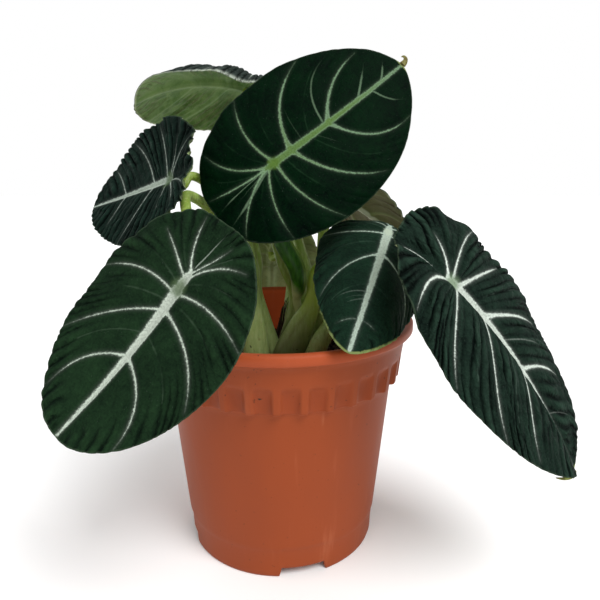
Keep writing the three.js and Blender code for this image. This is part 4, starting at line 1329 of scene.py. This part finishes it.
def make_pot(settings):
    around = FLUTES * 16
    theta = angles(around)
    rows = pot_profile()
    across = np.abs(((theta * FLUTES / (2 * np.pi)) % 1.0 - 0.5) / 0.375)
    scoop = np.clip(1 - across ** 3, 0, 1) ** 0.7
    # The four drain notches are turned from the front, which faces minus y.
    turned = theta + math.pi / 2 - math.radians(FOOT_NOTCH_ANGLE)
    gap = np.abs((turned + math.pi / 4) % (math.pi / 2) - math.pi / 4) * BASE_RADIUS
    notch = FOOT_NOTCH_HEIGHT * (1 - smooth(FOOT_NOTCH_WIDTH / 2 - 0.5, FOOT_NOTCH_WIDTH / 2 + 0.5, gap))
    low = POT_HEIGHT - LIP_HEIGHT
    points = []
    values = {}
    for z, r, flute, inside in rows:
        in_notch = r > BASE_RADIUS - WALL - 0.5 and z < 16 and not inside
        level = z + (notch * (1 - z / 16.0) if in_notch else 0.0)
        points += level_ring(r - FLUTE_DEPTH * flute * scoop, theta, level)
        dirt = 0.35 + 0.65 * smooth(COLLAR_BOTTOM - 4, COLLAR_BOTTOM + 6, z) if r > 30 else 0.3
        lip = smooth(low - 1, low + 1.5, z) * (1 - inside)
        note(values, around, lip=lip, inside=inside, dirt=dirt, scoop=flute * scoop)
    faces = grid_faces(len(rows), around)
    piece = add_piece("terracotta_nursery_pot", points, faces, [pot_material(settings)], values=values)
    dress(piece, "pot")


def lump(rng, centre, size, squash):
    """An uneven crumb of three rings of points."""
    spots = []
    for z, count, r in ((-0.8, 3, 0.55), (0.0, 5, 1.0), (0.75, 3, 0.6)):
        spin = rng.uniform(0, 6.3)
        for k in range(count):
            a = spin + k / count * 2 * math.pi
            reach = size * r * rng.uniform(0.7, 1.25)
            level = size * z * rng.uniform(0.6, 1.1) * 0.8
            spots.append((reach * math.cos(a), reach * math.sin(a) * squash, level))
    turn = rng.uniform(0, 6.3)
    tilt = rng.uniform(-0.7, 0.7)
    points = []
    for x, y, z in spots:
        x, z = x * math.cos(tilt) - z * math.sin(tilt), x * math.sin(tilt) + z * math.cos(tilt)
        x, y = x * math.cos(turn) - y * math.sin(turn), x * math.sin(turn) + y * math.cos(turn)
        points.append((centre[0] + x, centre[1] + y, centre[2] + z))
    faces = [(2, 1, 0), (8, 9, 10)]
    belt = (3, 4, 5, 6, 7)
    for small, up in (((0, 1, 2), False), ((8, 9, 10), True)):
        i = j = 0
        while i < 3 or j < 5:
            a, b = small[i % 3], belt[j % 5]
            if j * 3 <= i * 5 and j < 5:
                j += 1
                face = (a, b, belt[j % 5])
            else:
                i += 1
                face = (a, b, small[i % 3])
            faces.append(face[::-1] if up else face)
    return points, faces


def soil_height(x, y):
    """Level of the potting mix: a low mound about the plant, with waves and small lumps."""
    waves = 0.6 * np.sin(0.31 * x + 1.3) * np.cos(0.27 * y - 0.4) + 0.4 * np.sin(0.83 * x + 0.57 * y)
    rise = np.interp(np.hypot(x, y), (0, 12, 21, 29, 37, 45, 50), (1.0, 1.0, 0.5, 0.0, 0.0, -1.0, -2.0))
    rough = 1.5 * (value_noise(x * 0.55, y * 0.55, 3) - 0.5) + 0.9 * (value_noise(x * 1.3, y * 1.3, 4) - 0.5)
    return SOIL_LEVEL + rise + SOIL_BUMP * waves + rough


def make_soil(settings):
    rng = random.Random(7)
    around = 150
    theta = angles(around)
    edge = inner_radius(SOIL_LEVEL - 2) - SOIL_GAP
    floor = FOOT_RECESS + WALL + 0.3
    disc_floor = WALL + 0.3
    rows = [(disc_floor, 0.01), (disc_floor, CENTRE_DISC_RADIUS - 2), (floor, CENTRE_DISC_RADIUS)]
    rows += [(z, inner_radius(z) - SOIL_GAP) for z in (floor, COLLAR_BOTTOM)]
    points = []
    for z, r in rows:
        points += level_ring(r, theta, z)
    for r in np.linspace(edge, 0.6, 58):
        points += level_ring(r, theta, soil_height(r * np.cos(theta), r * np.sin(theta)))
    centre = len(points)
    points.append([0, 0, float(soil_height(0.0, 0.0))])
    faces = grid_faces(centre // around, around)
    faces += [(centre - around + j, centre - around + (j + 1) % around, centre) for j in range(around)]
    bark = [0.0] * len(points)
    pale = [0.0] * len(points)
    for k in range(settings.crumbs):
        r = math.sqrt(rng.uniform(0.0, 1.0)) * (edge - 1.5)
        a = rng.uniform(0, 2 * math.pi)
        x, y = r * math.cos(a), r * math.sin(a)
        size = rng.choice((0.5, 0.6, 0.8, 0.9, 1.1, 1.5, 2.0))
        crumb, sides = lump(rng, (x, y, float(soil_height(x, y)) + size * 0.2), size, rng.uniform(0.5, 1.0))
        faces += [tuple(len(points) + i for i in side) for side in sides]
        points += crumb
        kind = rng.random()
        bark += [0.8 if kind < 0.22 else 0.0] * len(crumb)
        pale += [0.9 if kind > 0.965 else 0.0] * len(crumb)
    values = {"bark": bark, "pale": pale}
    piece = add_piece("potting_mix_mound", points, faces, [soil_material()], values=values)
    dress(piece, "soil")


def make_strands():
    rng = random.Random(11)
    points = []
    faces = []
    spots = list(TALL_STRANDS)
    for k in range(SHORT_STRANDS):
        a = rng.uniform(0, 2 * math.pi)
        x = 3 + rng.uniform(8, 15) * math.cos(a)
        y = 3 + rng.uniform(8, 14) * math.sin(a)
        spots.append((x, y, rng.uniform(3, 9)))
    rings = 12
    for x, y, tall in spots:
        lean = rng.uniform(0, 2 * math.pi)
        bow = rng.uniform(0.1, 0.35) * tall
        wide = rng.uniform(0.25, 0.6)
        if tall > 20:
            lean = rng.uniform(-0.6, 0.6)
            bow = rng.uniform(2.0, 4.5)
            wide = rng.uniform(0.5, 0.9)
        ground = float(soil_height(x, y))
        twist = rng.uniform(0.3, 1.4)
        faces += grid_faces(rings, 4, len(points))
        for i in range(rings):
            t = i / (rings - 1)
            px = x + bow * t * t * math.cos(lean) + 0.35 * math.sin(6 * t + x)
            py = y + bow * t * t * math.sin(lean) + 0.35 * math.cos(5 * t + y)
            pz = ground - 1.0 + tall * t * (1 - 0.15 * t)
            half = wide * (1 - 0.75 * t)
            for b in angles(4) + twist * t:
                sideways = half * math.sin(b)
                points.append((px + half * math.cos(b), py + 0.4 * sideways, pz + 0.2 * sideways))
    dress(add_piece("dry_sheath_strands", points, faces, [strand_material()]))


# Settings

class ALOCASIA_PG_pot(bpy.types.PropertyGroup):
    pot_color: bpy.props.FloatVectorProperty(
        name="Plastic", description="Colour of the outside of the pot", subtype="COLOR", size=4,
        default=srgb(145, 65, 29), min=0.0, max=1.0,
    )
    crumbs: bpy.props.IntProperty(
        name="Crumbs", description="Loose crumbs on the potting mix", default=1500, min=0, max=4000,
    )


class ALOCASIA_PG_leaf(bpy.types.PropertyGroup):
    thickness: bpy.props.FloatProperty(
        name="Blade thickness", description="Thickness of a blade between its veins", default=0.0008,
        min=0.0003, max=0.002, unit="LENGTH",
    )
    relief: bpy.props.FloatProperty(
        name="Fine relief", description="Strength of the velvet and fibre relief", default=0.7,
        min=0.0, max=1.0, subtype="FACTOR",
    )


class ALOCASIA_PG_studio(bpy.types.PropertyGroup):
    floor_color: bpy.props.FloatVectorProperty(
        name="Floor", description="Colour of the plain floor", subtype="COLOR", size=4,
        default=(1.0, 1.0, 1.0, 1.0), min=0.0, max=1.0,
    )
    floor_size: bpy.props.FloatProperty(
        name="Floor size", description="Length of each side of the floor", default=6.0, min=1.0, unit="LENGTH",
    )
    sun_strength: bpy.props.FloatProperty(
        name="Daylight", description="Strength of the soft light from above the camera", default=2.3, min=0.0,
    )
    sun_softness: bpy.props.FloatProperty(
        name="Softness", description="Apparent width of the soft light", default=math.radians(32),
        min=0.0, max=math.radians(90), subtype="ANGLE",
    )
    sun_tilt: bpy.props.FloatProperty(
        name="Tilt", description="Angle of the soft light from straight down", default=math.radians(38),
        subtype="ANGLE",
    )
    sun_turn: bpy.props.FloatProperty(
        name="Turn", description="Direction of the soft light round the plant", default=math.radians(38),
        subtype="ANGLE",
    )
    sky_strength: bpy.props.FloatProperty(
        name="Surroundings", description="Strength of the even white light", default=0.72, min=0.0,
    )


# Stage

def even_white(strength):
    """White surroundings that light the plant less than they show."""
    world = bpy.data.worlds.new("even_white")
    world.use_nodes = True
    tree = world.node_tree
    tree.nodes.clear()
    share = tree.nodes.new("ShaderNodeMixShader")
    for socket, power in ((1, strength), (2, 1.0)):
        white = tree.nodes.new("ShaderNodeBackground")
        white.inputs["Color"].default_value = (1.0, 1.0, 1.0, 1.0)
        white.inputs["Strength"].default_value = power
        tree.links.new(white.outputs[0], share.inputs[socket])
    path = tree.nodes.new("ShaderNodeLightPath")
    output = tree.nodes.new("ShaderNodeOutputWorld")
    tree.links.new(path.outputs["Is Camera Ray"], share.inputs[0])
    tree.links.new(share.outputs[0], output.inputs[0])
    return world


def place_object(scene, name, data, tilt, turn=0.0):
    """Adds a light or a camera, tilted up from straight down and turned round the plant."""
    placed = bpy.data.objects.new(name, data)
    placed.rotation_euler = (tilt, 0.0, turn)
    scene.collection.objects.link(placed)
    return placed


# Operators

class ALOCASIA_OT_studio(bpy.types.Operator):
    """Makes the pale floor, the soft lights and the camera"""
    bl_idname = "alocasia.studio"
    bl_label = "Studio"

    def execute(self, context):
        scene = context.scene
        settings = scene.alocasia_studio
        size = settings.floor_size / 2 / MM
        corners = [(-size, -size, 0), (size, -size, 0), (size, size, 0), (-size, size, 0)]
        floor = add_piece("plain_floor", corners, [(0, 1, 2, 3)], [floor_material(settings)])
        sun = bpy.data.lights.new("soft_daylight", "SUN")
        sun.energy = settings.sun_strength
        sun.angle = settings.sun_softness
        place_object(scene, "soft_daylight", sun, settings.sun_tilt, settings.sun_turn)
        lens = bpy.data.cameras.new("photo_view")
        lens.sensor_width = CAMERA_SENSOR
        lens.lens = CAMERA_LENS
        lens.clip_start = 0.01
        scene.camera = place_object(scene, "photo_view", lens, CAMERA_TILT)
        scene.camera.location = CAMERA_PLACE
        scene.world = even_white(settings.sky_strength)
        scene.view_settings.view_transform = "Standard"
        return {"FINISHED"}


class ALOCASIA_OT_pot(bpy.types.Operator):
    """Makes the nursery pot with its fluted collar"""
    bl_idname = "alocasia.pot"
    bl_label = "Pot"

    def execute(self, context):
        make_pot(context.scene.alocasia_pot)
        return {"FINISHED"}


class ALOCASIA_OT_soil(bpy.types.Operator):
    """Makes the potting mix with its loose crumbs"""
    bl_idname = "alocasia.soil"
    bl_label = "Potting mix"

    def execute(self, context):
        make_soil(context.scene.alocasia_pot)
        return {"FINISHED"}


class ALOCASIA_OT_strands(bpy.types.Operator):
    """Makes the dry strands of old sheaths that stand round the foot of the plant"""
    bl_idname = "alocasia.strands"
    bl_label = "Dry strands"

    def execute(self, context):
        make_strands()
        return {"FINISHED"}


class ALOCASIA_OT_blades(bpy.types.Operator):
    """Makes the blades with their veins, creases and velvet"""
    bl_idname = "alocasia.blades"
    bl_label = "Blades"

    def execute(self, context):
        for name in LEAVES:
            make_blade(name, context.scene.alocasia_leaf)
        return {"FINISHED"}


class ALOCASIA_OT_stalks(bpy.types.Operator):
    """Makes the stalks with their sheaths, each up to the underside of its blade"""
    bl_idname = "alocasia.stalks"
    bl_label = "Stalks"

    def execute(self, context):
        if not SHEETS:
            raise RuntimeError("The blades are made first, because each stalk ends under its blade.")
        material = stalk_material(context.scene.alocasia_leaf)
        for name in STALKS:
            make_stalk(name, material)
        return {"FINISHED"}


class ALOCASIA_OT_young_leaf(bpy.types.Operator):
    """Makes the young leaf, rolled above its pale neck"""
    bl_idname = "alocasia.young_leaf"
    bl_label = "Young leaf"

    def execute(self, context):
        make_furled_leaf(context.scene.alocasia_leaf)
        return {"FINISHED"}


STEPS = (
    ALOCASIA_OT_studio, ALOCASIA_OT_pot, ALOCASIA_OT_soil, ALOCASIA_OT_strands,
    ALOCASIA_OT_blades, ALOCASIA_OT_stalks, ALOCASIA_OT_young_leaf,
)


class ALOCASIA_PT_panel(bpy.types.Panel):
    """Lists the steps that make the plant"""
    bl_idname = "ALOCASIA_PT_panel"
    bl_label = "Potted alocasia"
    bl_space_type = "VIEW_3D"
    bl_region_type = "UI"
    bl_category = "Alocasia"

    def draw(self, context):
        scene = context.scene
        for group in (scene.alocasia_pot, scene.alocasia_leaf, scene.alocasia_studio):
            box = self.layout.box()
            for setting in group.__annotations__:
                box.prop(group, setting)
        for step in STEPS:
            self.layout.operator(step.bl_idname)


CLASSES = (ALOCASIA_PG_pot, ALOCASIA_PG_leaf, ALOCASIA_PG_studio, *STEPS, ALOCASIA_PT_panel)


def register():
    for kind in CLASSES:
        bpy.utils.register_class(kind)
    bpy.types.Scene.alocasia_pot = bpy.props.PointerProperty(type=ALOCASIA_PG_pot)
    bpy.types.Scene.alocasia_leaf = bpy.props.PointerProperty(type=ALOCASIA_PG_leaf)
    bpy.types.Scene.alocasia_studio = bpy.props.PointerProperty(type=ALOCASIA_PG_studio)


def unregister():
    del bpy.types.Scene.alocasia_studio
    del bpy.types.Scene.alocasia_leaf
    del bpy.types.Scene.alocasia_pot
    for kind in reversed(CLASSES):
        bpy.utils.unregister_class(kind)


def main():
    register()
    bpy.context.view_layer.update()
    bpy.ops.alocasia.studio()
    bpy.ops.alocasia.pot()
    bpy.ops.alocasia.soil()
    bpy.ops.alocasia.strands()
    bpy.ops.alocasia.blades()
    bpy.ops.alocasia.stalks()
    bpy.ops.alocasia.young_leaf()


if __name__ == "__main__":
    main()
